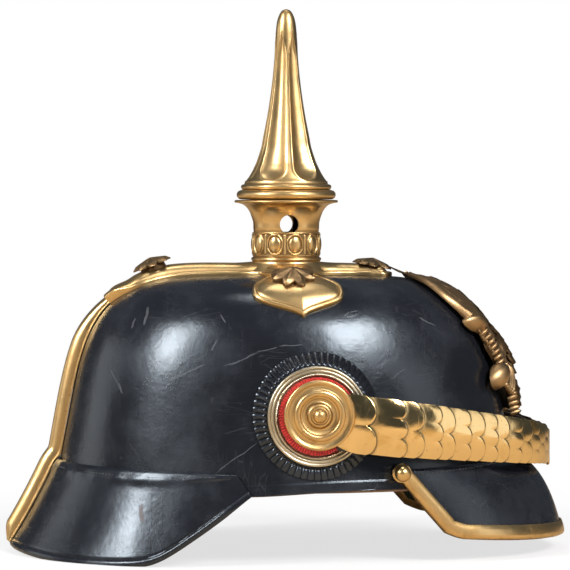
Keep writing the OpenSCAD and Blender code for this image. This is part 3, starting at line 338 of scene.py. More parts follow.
def tube(solid, path, radius, sides=12, looped=False, up=(0, 0, 1)):
    """Round bar along a path of points."""
    path = np.asarray(path, float)
    along = unit(np.roll(path, -1, 0) - np.roll(path, 1, 0) if looped else np.gradient(path, axis=0))
    side = unit(np.cross(along, np.broadcast_to(np.asarray(up, float), along.shape)))
    top = np.cross(side, along)
    a = turns(sides)
    r = np.broadcast_to(radius, (len(path),))[:, None, None]
    solid.loft(path[:, None] + r * (side[:, None] * np.cos(a) + top[:, None] * np.sin(a)), looped)


def stitches(solid, path, normals, pitch, length, radius):
    """Short lengths of thread along a path, each a bar that dips at its ends."""
    run = run_along(path)
    s = np.linspace(-1, 1, 5)
    for start in np.arange(pitch / 2, run[-1] - pitch / 2, pitch):
        at = start + s * length / 2
        centre, normal = between(at, run, path), between(at, run, normals)
        centre = centre + normal * (radius * (0.8 - 1.3 * s**4))[:, None]
        tube(solid, centre, radius * (1 - 0.5 * s**4), 6, up=normal[2])


# ---------------------------------------------------------------- materials
def add_node(tree, kind, inputs=None, **settings):
    """One node with its inputs, linked or set, and its settings."""
    node = tree.nodes.new(kind)
    for key, value in settings.items():
        setattr(node, key, value)
    for key, value in (inputs or {}).items():
        if isinstance(value, bpy.types.NodeSocket):
            tree.links.new(value, node.inputs[key])
        else:
            node.inputs[key].default_value = value
    return node


class Paint:
    """Node tree of one material, with short calls for the nodes it uses."""

    def __init__(self, name):
        self.material = bpy.data.materials.new(name)
        self.material.use_nodes = True
        self.tree = self.material.node_tree
        self.shader = self.tree.nodes["Principled BSDF"]
        self.coord = add_node(self.tree, "ShaderNodeTexCoord").outputs["Object"]
        self.shade = add_node(self.tree, "ShaderNodeAttribute", attribute_name="shade").outputs["Fac"]
        self.height = None

    def stretch(self, scale, turn=(0, 0, 0)):
        """The coordinates scaled and turned."""
        return add_node(self.tree, "ShaderNodeMapping",
                        {"Vector": self.coord, "Scale": scale, "Rotation": turn}).outputs["Vector"]

    def noise(self, scale, detail=4.0, rough=0.55, warp=0.0, vector=None):
        """Cloudy noise, about 0.5 in its middle."""
        return add_node(self.tree, "ShaderNodeTexNoise", {
            "Vector": vector or self.coord, "Scale": scale, "Detail": detail, "Roughness": rough,
            "Distortion": warp}).outputs["Fac"]

    def cells(self, scale, feature="F1", vector=None):
        """Distance in a pattern of cells."""
        return add_node(self.tree, "ShaderNodeTexVoronoi", {"Vector": vector or self.coord, "Scale": scale},
                        feature=feature).outputs["Distance"]

    def ramp(self, value, low, high, start=0.0, end=1.0):
        """Maps a value between low and high to start and end, and clamps it."""
        return add_node(self.tree, "ShaderNodeMapRange", {
            "Value": value, "From Min": low, "From Max": high, "To Min": start, "To Max": end},
            clamp=True, interpolation_type="SMOOTHSTEP").outputs["Result"]

    def math(self, kind, a, b=0.0):
        """Sum or other arithmetic of two values."""
        return add_node(self.tree, "ShaderNodeMath", {0: a, 1: b}, operation=kind).outputs[0]

    def blend(self, a, b, factor):
        """Colour between a and b."""
        node = add_node(self.tree, "ShaderNodeMix", {"Factor": factor}, data_type="RGBA")
        for key, value in (("A", a), ("B", b)):
            socket = [s for s in node.inputs if s.name == key and s.type == "RGBA"][0]
            if isinstance(value, bpy.types.NodeSocket):
                self.tree.links.new(value, socket)
            else:
                socket.default_value = (*value[:3], 1)
        return [s for s in node.outputs if s.type == "RGBA"][0]

    def relief(self, height, distance, strength=1.0):
        """Adds one layer of bump, in metres of height."""
        inputs = {"Height": height, "Distance": distance, "Strength": strength}
        if self.height is not None:
            inputs["Normal"] = self.height
        self.height = add_node(self.tree, "ShaderNodeBump", inputs).outputs["Normal"]
        self.tree.links.new(self.height, self.shader.inputs["Normal"])

    def set(self, **values):
        """Sets or links inputs of the shader, with _ for a space in their names."""
        for key, value in values.items():
            socket = self.shader.inputs[key.replace("_", " ")]
            if isinstance(value, bpy.types.NodeSocket):
                self.tree.links.new(value, socket)
            else:
                socket.default_value = (*value, 1) if isinstance(value, tuple) and len(value) == 3 else value

    def stroke(self, scale, turn, width, where=24.0):
        """Thin straight lines broken into lengths, such as scratches, that run mostly one way."""
        line = self.ramp(self.cells(1.0, "DISTANCE_TO_EDGE", self.stretch(scale, turn)), 0.0, width, 1.0, 0.0)
        place = self.ramp(self.noise(where, 2.0, 0.5, 0.0, self.stretch((1, 1, 1), turn)), 0.57, 0.62)
        return self.math("MULTIPLY", line, place)

    def vector(self, kind, a, b):
        """Arithmetic of two vectors."""
        node = add_node(self.tree, "ShaderNodeVectorMath", {0: a, 1: b}, operation=kind)
        return node.outputs["Value" if kind == "DOT_PRODUCT" else "Vector"]

    def marks(self, lines):
        """Single scratches on the right side, each from one point to another, in millimetres."""
        shake = add_node(self.tree, "ShaderNodeTexNoise", {"Vector": self.coord, "Scale": 110.0, "Detail": 4.0})
        flat = self.vector("MULTIPLY_ADD", shake.outputs["Color"], (0.0028, 0.0, 0.0028))
        self.tree.links.new(self.coord, flat.node.inputs[2])
        total = None
        for x1, z1, x2, z2, width in lines:
            span = math.hypot(x2 - x1, z2 - z1)
            way = ((x2 - x1) / span, 0.0, (z2 - z1) / span)
            middle = self.vector("SUBTRACT", flat, ((x1 + x2) / 2 * MM + 0.0014, 0.0, (z1 + z2) / 2 * MM + 0.0014))
            off = self.math("ABSOLUTE", self.vector("DOT_PRODUCT", middle, (-way[2], 0.0, way[0])))
            run = self.math("ABSOLUTE", self.vector("DOT_PRODUCT", middle, way))
            line = self.math("MULTIPLY", self.ramp(off, width * 0.1 * MM, width * 0.85 * MM, 1.0, 0.0),
                             self.ramp(run, span * 0.3 * MM, span * 0.52 * MM, 1.0, 0.0))
            total = line if total is None else self.math("MAXIMUM", total, line)
        side = self.vector("DOT_PRODUCT", self.coord, (0.0, 1.0, 0.0))
        return self.math("MULTIPLY", total, self.ramp(side, -0.03, -0.02, 1.0, 0.0))


# Single marks on the right side: from x, z to x, z with their width
LIGHT_MARKS = [
    (-64.4, 89.0, -45.4, 98.3, 0.45), (-38.7, 96.2, -19.7, 103.4, 0.4), (-92.1, 94.2, -86.0, 81.9, 0.45),
    (-86.0, 81.9, -87.6, 87.2, 0.4), (-38.7, 121.8, -36.1, 117.7, 0.6), (-40.8, 109.6, -43.8, 104.4, 0.5),
    (-42.8, 44.6, -21.2, 60.4, 0.35), (-35.3, 96.8, -22.1, 103.1, 0.45), (-22.1, 103.1, -11.4, 106.5, 0.45),
    (-11.4, 106.5, 1.8, 107.3, 0.4), (21.9, 120.2, 24.8, 123.2, 0.5), (23.3, 119.8, 28.7, 121.7, 0.5),
    (24.8, 122.9, 28.7, 123.2, 0.45), (60.2, 119.8, 70.2, 115.0, 0.5), (45.3, 90.3, 52.6, 95.0, 0.4),
    (-72.6, 124.9, -75.1, 115.4, 0.9), (-78.8, 118.8, -80.8, 113.6, 0.7)]
DARK_MARKS = [
    (-71.6, 73.7, -80.9, 56.3, 0.5), (55.4, 98.1, 67.5, 95.3, 0.6), (-1.1, 113.9, 7.7, 110.0, 0.4)]
TORN_MARKS = [
    (-78.3, 29.8, -78.0, 20.6, 2.0)]


def lacquered_leather(colours):
    """Old black lacquer on leather: broad soft sheen, crazing, single marks and scuffs."""
    p = Paint("lacquered_leather")
    cloud = p.noise(26.0, 5.0, 0.62)
    light, dark, torn = p.marks(LIGHT_MARKS), p.marks(DARK_MARKS), p.marks(TORN_MARKS)
    strokes = p.math("MAXIMUM", p.stroke((9, 9, 150), (0.5, 0.2, 0.4), 0.008),
                     p.stroke((8, 90, 120), (0.9, 0.3, 0.7), 0.008, 19.0))
    hair = p.math("MAXIMUM", p.stroke((300, 60, 40), (0.4, 0.6, 0.0), 0.03, 45.0),
                  p.stroke((40, 50, 320), (0.2, 0.1, 0.8), 0.03, 52.0))
    craze = p.math("MULTIPLY", p.ramp(p.cells(300.0, "DISTANCE_TO_EDGE"), 0.0, 0.07, 1.0, 0.0),
                   p.ramp(p.noise(38.0, 3.0), 0.42, 0.6))
    nicks = p.ramp(p.noise(260.0, 3.0, 0.7), 0.70, 0.76)
    base = p.blend(colours.lacquer, colours.lacquer_worn, p.ramp(cloud, 0.42, 0.75, 0.0, 0.7))
    base = p.blend(base, colours.scratch, p.math("MULTIPLY", light, 0.22))
    base = p.blend(base, colours.scratch, p.math("MULTIPLY", p.math("MAXIMUM", strokes, hair), 0.06))
    base = p.blend(base, colours.scratch, p.math("MULTIPLY", nicks, 0.12))
    base = p.blend(base, colours.leather_edge, p.math("MULTIPLY", torn, 0.55))
    base = p.blend(base, colours.leather_edge, p.ramp(p.shade, 0.3, 0.9, 0.0, 0.8))
    rough = p.ramp(cloud, 0.3, 0.75, 0.2, 0.35)
    rough = p.math("ADD", rough, p.math("MULTIPLY", p.math("MAXIMUM", light, torn), 0.25))
    p.relief(p.noise(70.0, 5.0, 0.6), 0.0007, 0.35)
    p.relief(craze, 0.00008, -0.9)
    p.relief(p.math("MAXIMUM", p.math("MAXIMUM", light, dark), torn), 0.0003, -1.0)
    p.relief(p.math("MAXIMUM", strokes, hair), 0.00008, -0.9)
    p.relief(p.noise(330.0, 4.0, 0.65), 0.00012, 0.6)
    p.relief(p.noise(900.0, 3.0, 0.6), 0.00005, 0.6)
    p.set(Base_Color=base, Roughness=rough, Specular_IOR_Level=0.55, Specular_Tint=(0.74, 0.87, 1.0, 1.0),
          Coat_Weight=0.12, Coat_Roughness=0.2)
    return p.material


def metal(name, bright, dull, stain_and_shade, rough=(0.2, 0.38), patches=(0.5, 0.7), scratchy=0.3):
    """Yellow metal: dull patches, dirt in hollows and some painted shade, painted black shade in bores, polishing
    marks.
    """
    p = Paint(name)
    cloud = p.noise(55.0, 6.0, 0.62, 0.4)
    spots = p.noise(420.0, 3.0, 0.6)
    base = p.blend(bright, dull, p.ramp(cloud, *patches))
    # Painted shade and dirt: the shade attribute darkens the metal towards its stain colour. That is dirt in grooves,
    # but painted shade on the bird's middle and painted shadow past each chin scale's lapped edge.
    base = p.blend(base, stain_and_shade, p.ramp(p.shade, 0.25, 1.0, 0.0, 0.85))
    base = p.blend(base, stain_and_shade, p.math("MULTIPLY", p.ramp(spots, 0.66, 0.74), 0.5))
    # Painted shade: where the shade attribute is above 1, as in the neck's bore, the metal goes nearly black.
    base = p.blend(base, (0.004, 0.003, 0.002), p.ramp(p.shade, 1.0, 2.0, 0.0, 0.96))
    marks = p.stroke((300, 90, 160), (0.7, 0.3, 0.5), 0.03, 70.0)
    level = p.math("ADD", p.ramp(cloud, 0.35, 0.7, *rough), p.math("MULTIPLY", p.shade, 0.25))
    level = p.math("ADD", level, p.math("MULTIPLY", marks, 0.12))
    p.relief(p.noise(110.0, 3.0), 0.0004, 0.25)
    p.relief(marks, 0.00003, -scratchy)
    p.relief(spots, 0.00003, 0.3)
    p.set(Base_Color=base, Metallic=1.0, Roughness=level)
    return p.material


def soft_leather(name, colour, share, grain=700.0, rough=0.62):
    """Bare or dyed leather with its grain and handled patches that keep a share of its brightness."""
    dark = tuple(share * v for v in colour)
    p = Paint(name)
    cloud = p.noise(40.0, 5.0, 0.6)
    cell = p.cells(grain)
    base = p.blend(colour, dark, p.ramp(cloud, 0.4, 0.7))
    base = p.blend(base, dark, p.ramp(cell, 0.45, 0.1, 0.0, 0.5))
    base = p.blend(base, dark, p.ramp(p.shade, 0.2, 1.0, 0.0, 0.8))
    p.relief(cell, 0.00014, 0.6)
    p.relief(p.noise(150.0, 4.0), 0.0004, 0.3)
    p.set(Base_Color=base, Roughness=p.ramp(cloud, 0.3, 0.7, rough - 0.1, rough + 0.1))
    return p.material


def cloth(name, colour, share, weave=1500.0):
    """Matt wool or linen, its hollows at a share of its brightness."""
    dark = tuple(share * v for v in colour)
    p = Paint(name)
    thread = p.noise(weave, 4.0, 0.7)
    base = p.blend(dark, colour, p.ramp(thread, 0.35, 0.6))
    base = p.blend(base, dark, p.ramp(p.shade, 0.2, 1.0, 0.0, 0.8))
    p.relief(thread, 0.0002, 0.8)
    p.set(Base_Color=base, Roughness=0.9, Sheen_Weight=0.3)
    return p.material


def finishes(context):
    """All materials by name, made once."""
    if LOOKS:
        return LOOKS
    c = context.scene.helmet_colours
    LOOKS["lacquered_leather"] = lacquered_leather(c)
    # The stain colour of the dark bronze also carries painted shade on the bird's middle. That of the scale brass
    # also carries painted shadow past each scale's lap.
    metals = [("gilt_brass", c.brass, c.brass_dull, c.brass_stain, (0.29, 0.43), (0.42, 0.72)),
              ("scale_brass", c.scale, c.scale_dull, c.verdigris_and_shadow, (0.1, 0.24), (0.52, 0.75), 0.5),
              ("dark_bronze", c.bronze, c.bronze_dark, c.bronze_stain_and_shade, (0.3, 0.5)),
              ("plain_brass", c.brass_dull, c.bronze, c.brass_stain, (0.35, 0.5)),
              ("cockade_metal", c.silver, c.silver_dull, c.brass_stain, (0.28, 0.45), (0.4, 0.65))]
    leathers = [("green_lining", c.green, 0.5), ("red_lining", c.oxblood, 0.5), ("brown_leather", c.tan, 0.45),
                ("strap_leather", c.strap, 0.4, 500.0, 0.5)]
    cloths = [("red_cloth", c.red, 0.35), ("cord", c.linen, 0.5, 900.0), ("thread", c.thread, 0.5, 900.0)]
    for kind, rows in ((metal, metals), (soft_leather, leathers), (cloth, cloths)):
        for name, *values in rows:
            LOOKS[name] = kind(name, *values)
    return LOOKS


# ---------------------------------------------------------------- leather body
def build_skull(context):
    sizes = context.scene.helmet_sizes
    lump = mm(sizes.leather_waves)
    a = turns(216)
    low = np.arcsin(((np.arange(0.7, 7.5, 0.35)) / HEIGHT) ** (POWER / 2))
    t = np.concatenate([low, climb(64, BRIM + 7.9, 13.0)[0]])
    base = dome(t[None, :], a)

    def sag(points):
        low = 1 - smooth((points[..., 2] - BRIM) / 18)
        points[..., 2] -= 2.6 * bump(points[..., 0] + 30, 34) * low
        return points
    hem = mm(sizes.hem_rise) * (1 - smooth((base[..., 2] - BRIM - 4.6) / 0.9))
    outer = dome(t[None, :], a, lump * unevenness(base) + hem)
    inner = dome(t[None, ::-1], a, -WALL)
    brim = [dome(np.array([0.0]), a, g) + np.array([0, 0, dz])
            for g, dz in ((-WALL, 0.6), (-WALL + 0.4, 0.15), (-WALL / 2, 0.0), (-0.2, 0.15), (0.3, 0.6))]
    hole = [xyz(12 * np.cos(a), 12 * np.sin(a), z) for z in (CROWN, CROWN - WALL)]
    rows = sag(np.concatenate([outer, *hole, inner, *brim], axis=1))
    shade = np.zeros(rows.shape[:2])
    shade[:, -5:] = 0.6
    shade[:, :len(t)] = 0.4 * bump(base[..., 2] - BRIM - 5.3, 0.4)
    solid = Solid()
    solid.loft(rows, looped=True, shade=shade)
    solid.make("skull", "lacquered_leather", "shell", ["skull_shell"])


def leather_rim(point, u, end, outer, inner, count):
    """Closed section across the visor or the guard: out over its skin, round its rim and back."""
    v = np.linspace(0, 1, count)[None, :] ** 0.9 * end
    uu = np.broadcast_to(u, v.shape)
    top, _ = sheet(point, uu, v, outer(uu, v))
    low, _ = sheet(point, uu, v[:, ::-1], inner)
    rim = outer(u, end)
    tip, n = sheet(point, u, end, (rim + inner) / 2)
    ahead = unit(point(u, end) - point(u, end - 0.01))
    b = np.linspace(0, PI, 7)[1:-1]
    half = ((rim - inner) / 2)[..., None]
    round_rim = tip + half * (n * np.cos(b)[None, :, None] + ahead * np.sin(b)[None, :, None])
    return np.concatenate([top, round_rim, low], axis=1)


def seam_along(name, point, reach, v, count, pitch):
    """Thread along the seam of the visor or the guard."""
    seam = Solid()
    path, n = sheet(point, np.linspace(-reach, reach, count), v, WALL)
    stitches(seam, path, n, pitch, pitch * 0.62, 0.28)
    seam.make(name, "thread", "shell", [], slot="lacquered_leather")


def lining_inside(point, u, v):
    """Lining inside the visor or the guard."""
    lining = Solid()
    lining.shell(sheet(point, u, v, -SKIN_GAP - LINING)[0], sheet(point, u, v[:, ::-1], -SKIN_GAP)[0])
    return lining


def build_visor(context):
    sizes = context.scene.helmet_sizes
    u = np.linspace(-1, 1, 121)[:, None]
    lump = mm(sizes.leather_waves)

    def outer(uu, v):
        p = visor_point(uu, v)
        return WALL + 0.5 * lump * unevenness(p * 1.4) - 0.5 * bump(v, 0.012)
    rows = leather_rim(visor_point, u, visor_end(u), outer, 0.0, 40)
    solid = Solid()
    solid.loft(rows)
    solid.make("visor", "lacquered_leather", "shell", ["front_visor"])
    seam_along("visor_stitches", visor_point, 0.95, 0.085, 400, mm(sizes.stitch_pitch))
    u = np.linspace(-0.985, 0.985, 81)[:, None]
    start = mix(0.36, 0.12, 1 - u * u)
    v = mix(start, visor_end(u) * 0.985, np.linspace(0, 1, 24)[None, :])
    lining_inside(visor_point, u, v).make("visor_green_lining", "green_lining", "shell", ["visor_lining"])


def build_guard(context):
    sizes = context.scene.helmet_sizes
    u = np.linspace(-1, 1, 161)[:, None]
    lump = mm(sizes.leather_waves)
    roll = mm(sizes.rolled_edge)

    def outer(uu, v):
        p = guard_point(uu, v)
        drop = np.linalg.norm(guard_point(uu, np.ones_like(v)) - p, axis=-1)
        rolled = 0.42 * bump(drop - roll * 0.45, roll * 0.42) - 0.3 * bump(drop - roll * 1.25, roll * 0.2)
        swell = 0.4 * bump(v - 0.1, 0.05) * (1 + 0.7 * np.sin(uu * 41) * np.sin(uu * 23 + 1))
        thin = mix(1.0, 0.3, smooth((abs(uu) - 0.92) / 0.08))
        return thin * (WALL + 0.6 * lump * unevenness(p * 1.3) + rolled + swell - 0.6 * bump(v, 0.012))
    rows = leather_rim(guard_point, u, np.ones_like(u), outer, 0.0, 64)
    rows[..., 2] = np.maximum(rows[..., 2], 0)
    drop = np.linalg.norm(rows - guard_point(u, np.ones_like(u)), axis=-1)
    shade = 0.35 * bump(drop - roll * 1.25, roll * 0.2)
    solid = Solid()
    solid.loft(rows, shade=shade)
    solid.make("neck_guard_leather", "lacquered_leather", "shell", ["neck_guard"])
    seam_along("guard_stitches", guard_point, 0.93, 0.075, 500, mm(sizes.stitch_pitch))
    u = np.linspace(-0.8, 0.8, 81)[:, None]
    v = np.broadcast_to(np.linspace(0.93, 0.3, 20)[None, :], (81, 20))
    lining_inside(guard_point, u, v).make("guard_red_lining", "red_lining", "shell", ["guard_lining"])


# ---------------------------------------------------------------- brass on the leather
def build_trim(context):
    sizes = context.scene.helmet_sizes
    corner = float(visor_end(np.array(1.0)))
    side = np.linspace(0.06, corner, 30)[:-1]
    across = np.linspace(-1, 1, 150)
    u = np.concatenate([-np.ones_like(side), across, np.ones_like(side)])
    v = np.concatenate([side, visor_end(across), side[::-1]])
    path, n = sheet(visor_point, u, v, np.zeros_like(u))
    along = unit(np.gradient(path, axis=0))
    for _ in range(3):
        along[1:-1] = unit(along[:-2] + 2 * along[1:-1] + along[2:])
    into = unit(np.cross(n, along))
    low = smooth((v - 0.3) / 0.14)
    lip = smooth((v - 0.42) / 0.14)
    wide, top = mm(sizes.trim_width), WALL + SKIN_GAP
    zero = np.zeros_like(u)
    base = mix(0.95, -1.4, low)
    end = mix(-0.35, 2.8, lip)
    section = [(wide, top), (wide, top + 0.35), (wide - 0.35, top + 0.75), (wide * 0.55, top + 1.05),
               (1.0, top + 1.0), (-0.2, top + 0.8), (-0.85, top + 0.3), (-1.1, top - 0.6), (-1.1, base + 0.1),
               (-0.95, base - 0.45), (mix(-0.4, 0.3, lip), base - 0.75), (end, base - 0.75), (end, base),
               (-SKIN_GAP, base), (-SKIN_GAP, top)]
    rows = np.stack([path + into * (zero + a)[:, None] + n * (zero + b)[:, None] for a, b in section], axis=1)
    shade = np.zeros(rows.shape[:2])
    shade[:, :2] = 0.8
    solid = Solid()
    solid.loft(rows, shade=shade)
    solid.make("visor_edge_trim", "gilt_brass", "shell", ["visor_trim"], 50)
    balls = Solid()
    for sign in SIDES.values():
        p = visor_point(np.array(sign * 0.975), np.array(0.035))
        profile = [(0, 2.5), (4.6, 2.6), (4.7, 3.3), (4.2, 3.7), (3.2, 4.1), (3.0, 4.5)]
        profile += arc(0, 6.4, 4.0, -38, 90, 14)
        balls.lathe(profile, lambda r, a, h: xyz(p[0] + r * np.cos(a), p[1] + sign * h, p[2] + r * np.sin(a)), 48)
    balls.make("trim_ball_screws", "gilt_brass", "shell", ["trim_screws"])


def build_spine(context):
    z = np.linspace(float(dome_top(np.array(-84.0), np.array(0.0))), 48.5, 60)
    upper = xyz(-dome_reach(z) - SKIN_GAP, 0 * z, z)
    v = np.linspace(0.03, 1, 60)
    lower, _ = sheet(guard_point, np.zeros_like(v), v, WALL + SKIN_GAP)
    points = np.concatenate([upper, lower])
    run = run_along(points)
    s = np.linspace(0, run[-1], 150)
    path = between(s, run, points)
    bed = path.copy()
    for _ in range(14):
        path[1:-1] = (path[:-2] + 2 * path[1:-1] + path[2:]) / 4
    along = unit(np.gradient(path, axis=0))
    out = xyz(along[:, 2], 0 * s, -along[:, 0])
    across = np.array([0.0, 1.0, 0.0])
    share = mix(0.2, 1.0, smooth((s[-1] - s) / 9) ** 0.6) * mix(0.42, 1.0, smooth(s / 34))
    half, flange, high = 4.9, 0.8, 5.9
    a = np.radians(np.linspace(0, 180, 21))
    outline = [(half, 0.0), (half, flange - 0.2), (half - 0.2, flange), (4.55, flange), (4.4, flange + 0.2)]
    outline += [(4.25 * math.cos(t), flange + 0.3 + (high - 0.3) * math.sin(t)) for t in a]
    outline += [(-y, h) for y, h in outline[4::-1]]
    rows = []
    for y, h in outline:
        up = h if h <= flange else flange + (h - flange) * share
        rows.append((bed if h == 0 else path) + across * y + out * np.broadcast_to(up, s.shape)[..., None])
    rows = np.stack(rows, axis=1)
    shade = np.zeros(rows.shape[:2])
    for k, (y, h) in enumerate(outline):
        if 4.3 < abs(y) < 4.7:
            shade[:, k] = 0.8
    solid = Solid()
    solid.loft(rows, shade=shade)
    solid.make("back_spine", "gilt_brass", "shell", ["rear_spine"], 50)


# Share of the run from a spade's tip to the crown, share of its half width, height
SPADE = [[0, 0.012, 2.2], [0.025, 0.06, 2.6], [0.06, 0.19, 3.0], [0.1, 0.4, 3.4], [0.16, 0.7, 4.0], [0.22, 0.9, 4.4],
         [0.29, 0.985, 4.5], [0.36, 1, 4.5], [0.47, 0.975, 4.5], [0.55, 0.9, 4.6], [0.63, 0.78, 4.8],
         [0.72, 0.62, 4.8], [0.8, 0.51, 4.9], [0.87, 0.47, 5.2], [0.94, 0.5, 5.8], [1, 0.64, 6.4]]
# Share of an arm from its root to its tip, half width, height
FRONT_ARM = [[0, 15, 7.2], [0.1, 11.9, 6.7], [0.25, 9.8, 6.3], [0.4, 9.3, 6.2], [0.55, 9.3, 6.0], [0.68, 10.2, 5.8],
             [0.8, 11.6, 5.5], [0.88, 11.4, 5.0], [0.94, 9.2, 4.4], [0.98, 5.8, 4], [1, 2.4, 3.6]]
REAR_ARM = [[0, 15, 7.2], [0.06, 11.9, 6.7], [0.14, 9.8, 6.4], [0.24, 9.1, 6.5], [0.45, 9.0, 6.8], [0.6, 9.8, 6.8],
            [0.72, 12, 6.2], [0.8, 13, 5.4], [0.87, 12, 4.2], [0.93, 9.4, 3.2], [0.98, 6.6, 2.6], [1, 5.6, 2.4]]

# Half width of the spades, and where their tips lie
SPADE_HALF, SPADE_TIP_Z, SPADE_TIP_X = 22.5, 119.9, 1.7
# Arms with their reach and way; they start at this distance from the middle
ARMS, ARM_START = ((FRONT_ARM, 54, 1), (REAR_ARM, 90, -1)), 14.5


def beaded_plate(solid, base, normal, high, bead, rounding, raised=0.0):
    """A plate that follows the skull: a bead along its outline, a quirk, and a rounded back."""
    n, m = base.shape[:2]
    outline = np.concatenate([base[:, 0], base[:, -1], base[0]])
    flat = base.reshape(-1, 3)
    d = np.min(np.linalg.norm(flat[:, None] - outline[None], axis=-1), axis=1).reshape(n, m)
    q = np.clip((d - bead / 2) / (bead / 2), -1, 1)
    edge = 1.1 + 1.35 * np.sqrt(1 - q * q)
    s = np.clip((d - bead) / rounding, 0, 1)
    back = 1.5 + (high - 1.5) * np.sqrt(1 - (1 - s) ** 2)
    lift = np.where(d < bead, edge, back) + raised
    shade = 0.8 * bump(d - bead, 0.55)
    solid.shell(base + normal * lift[..., None], base[:, ::-1] + normal[:, ::-1] * SEAT_GAP, shade)


def build_base(context):
    sizes = context.scene.helmet_sizes
    bead = mm(sizes.base_bead)
    c = np.sin(np.linspace(-PI / 2, PI / 2, 91))[None, :]
    solid = Solid()
    low = math.asin(((SPADE_TIP_Z - BRIM) / HEIGHT) ** (POWER / 2))
    for sign in SIDES.values():
        s = np.linspace(0, 1, 96) ** 1.25
        width, high = spline(SPADE, s).T
        t = mix(low, math.radians(88.6), s)[:, None]
        x = c * width[:, None] * SPADE_HALF + SPADE_TIP_X * np.clip(1 - s / 0.3, 0, 1)[:, None]

        def skin(grow):
            rise, spread = rise_and_spread(t)
            y = (WIDTH + grow) * spread * np.sqrt(np.maximum(1 - (x / ((LENGTH + grow) * spread)) ** 2, 0))
            return xyz(x, sign * y, BRIM + (HEIGHT + grow) * rise)
        base = skin(0.0)
        rounding = mix(5.5, 19.0, smooth((0.86 - s) / 0.3))[:, None]
        beaded_plate(solid, base, unit(skin(1.0) - base), high[:, None], bead, rounding)
    for rows, reach, way in ARMS:
        s = 1 - (1 - np.linspace(0, 1, 90)) ** 1.3
        width, high = spline(rows, s[::-1]).T
        x = mix(ARM_START, reach, s[::-1])[:, None] * way
        y = c * width[:, None]
        base = xyz(x, y, dome_top(x, y))
        raised = (2.4 * smooth((s[::-1] - 0.84) / 0.12) if way < 0 else 0 * s)[:, None]
        beaded_plate(solid, base, dome_normal(x, y), high[:, None], bead, 6.0, raised)
    foot = [(13, CROWN + 0.7), (21.0, CROWN + 0.4), (21.2, CROWN + 1.6), (20.4, CROWN + 2.6), (19.4, CROWN + 3.8),
            (18.5, CROWN + 5.0), (17.8, CROWN + 5.9), (17.2, CROWN + 6.9)]
    foot += arc(16.8, 147.2, 1.05, -60, 80, 8) + [(16.9, 148.4), (16.8, NECK_FOOT), (13, NECK_FOOT)]
    solid.lathe(foot, upright, 128)
    solid.make("cross_base_plate", "gilt_brass", "shell", ["cross_base"], 55)


# Two stars on the arms, at x, z and a tilt, and one on each spade's rounded back
ARM_STARS = ((44, 143.8, 11), (-68.5, 144.3, -21))
SPADE_BACK, SPADE_STAR_Y, SPADE_STAR_X, SPADE_STAR_GROW = 4.7, 54.3, -2.0, 1.1


def star_places():
    """A function for each star that maps its own across, along and height to the helmet."""
    for x, z, tilt in ARM_STARS:
        t = math.radians(tilt)
        yield False, (lambda p, x=x, z=z, t=t: xyz(x + p[..., 0] * math.cos(t) + p[..., 2] * math.sin(t), p[..., 1],
                                                   z - p[..., 0] * math.sin(t) + p[..., 2] * math.cos(t)))
    y = np.linspace(36, 76, 400)
    line = np.stack([y, dome_top(0 * y, y, SPADE_BACK)], -1)
    way = unit(np.gradient(line, axis=0))
    run = run_along(line)
    middle = np.interp(SPADE_STAR_Y, y, run)
    for sign in SIDES.values():
        def draped(p, sign=sign):
            s = middle + sign * p[..., 1] * SPADE_STAR_GROW
            at = [np.interp(s, run, v) for v in (line[:, 0], line[:, 1], way[:, 0], way[:, 1])]
            return xyz(p[..., 0] * SPADE_STAR_GROW + SPADE_STAR_X, sign * (at[0] - p[..., 2] * at[3]),
                       at[1] + p[..., 2] * at[2])
        yield True, draped


def build_stars(context):
    sizes = context.scene.helmet_sizes
    reach, peak, lift = mm(sizes.star_radius), mm(sizes.star_peak), mm(sizes.star_lift)
    solid = Solid()
    s = np.linspace(0, 1, 18)[:, None]
    c = np.linspace(-1, 1, 13)[None, :]
    for on_spade, place in star_places():
        for k in range(8):
            a = k * PI / 4 + (PI / 8 if on_spade else 0)
            half = 0.3 + 2.75 * np.clip(s / 0.62, 0, 1) * np.clip((1 - s) / 0.38, 0, 1) ** 0.62
            fall = peak * (1 - s) ** 0.9 + 0.5
            rise = fall + 0.9 * (1 - abs(c)) * (0.35 + s) * np.clip((1 - s) * 5, 0.3, 1) - 0.5 * s * abs(c)
            x = reach * (0.04 + 0.96 * s) + 0 * c
            y = half * c
            deep, lowest = (3.0, -1.5) if on_spade else (1.3, 0.1)
            under = np.minimum(fall - deep, rise[:, ::-1] - 0.4).clip(lowest)
            rows = np.concatenate([xyz(x, y, rise), xyz(x, y[:, ::-1], under)], axis=1) + np.array([0, 0, lift])
            spin = np.array([[math.cos(a), -math.sin(a), 0], [math.sin(a), math.cos(a), 0], [0, 0, 1]])
            edge = np.concatenate([abs(c) ** 4 * 0.8 + 0 * s, 0.9 + 0 * (s + c)], axis=1)
            solid.loft(place(rows @ spin.T), shade=edge)
        if not on_spade:
            boss = [(0.5, lift + 1.6), (6.2, lift + 0.6), (6.6, -2.0), (6.6, -5.0), (0.5, -5.0)]
            solid.lathe(boss, lambda r, a, h: place(xyz(r * np.cos(a), r * np.sin(a), h)), 40, shade=0.9)
    solid.make("star_bosses", "dark_bronze", "shell", ["star_screws"], 50)


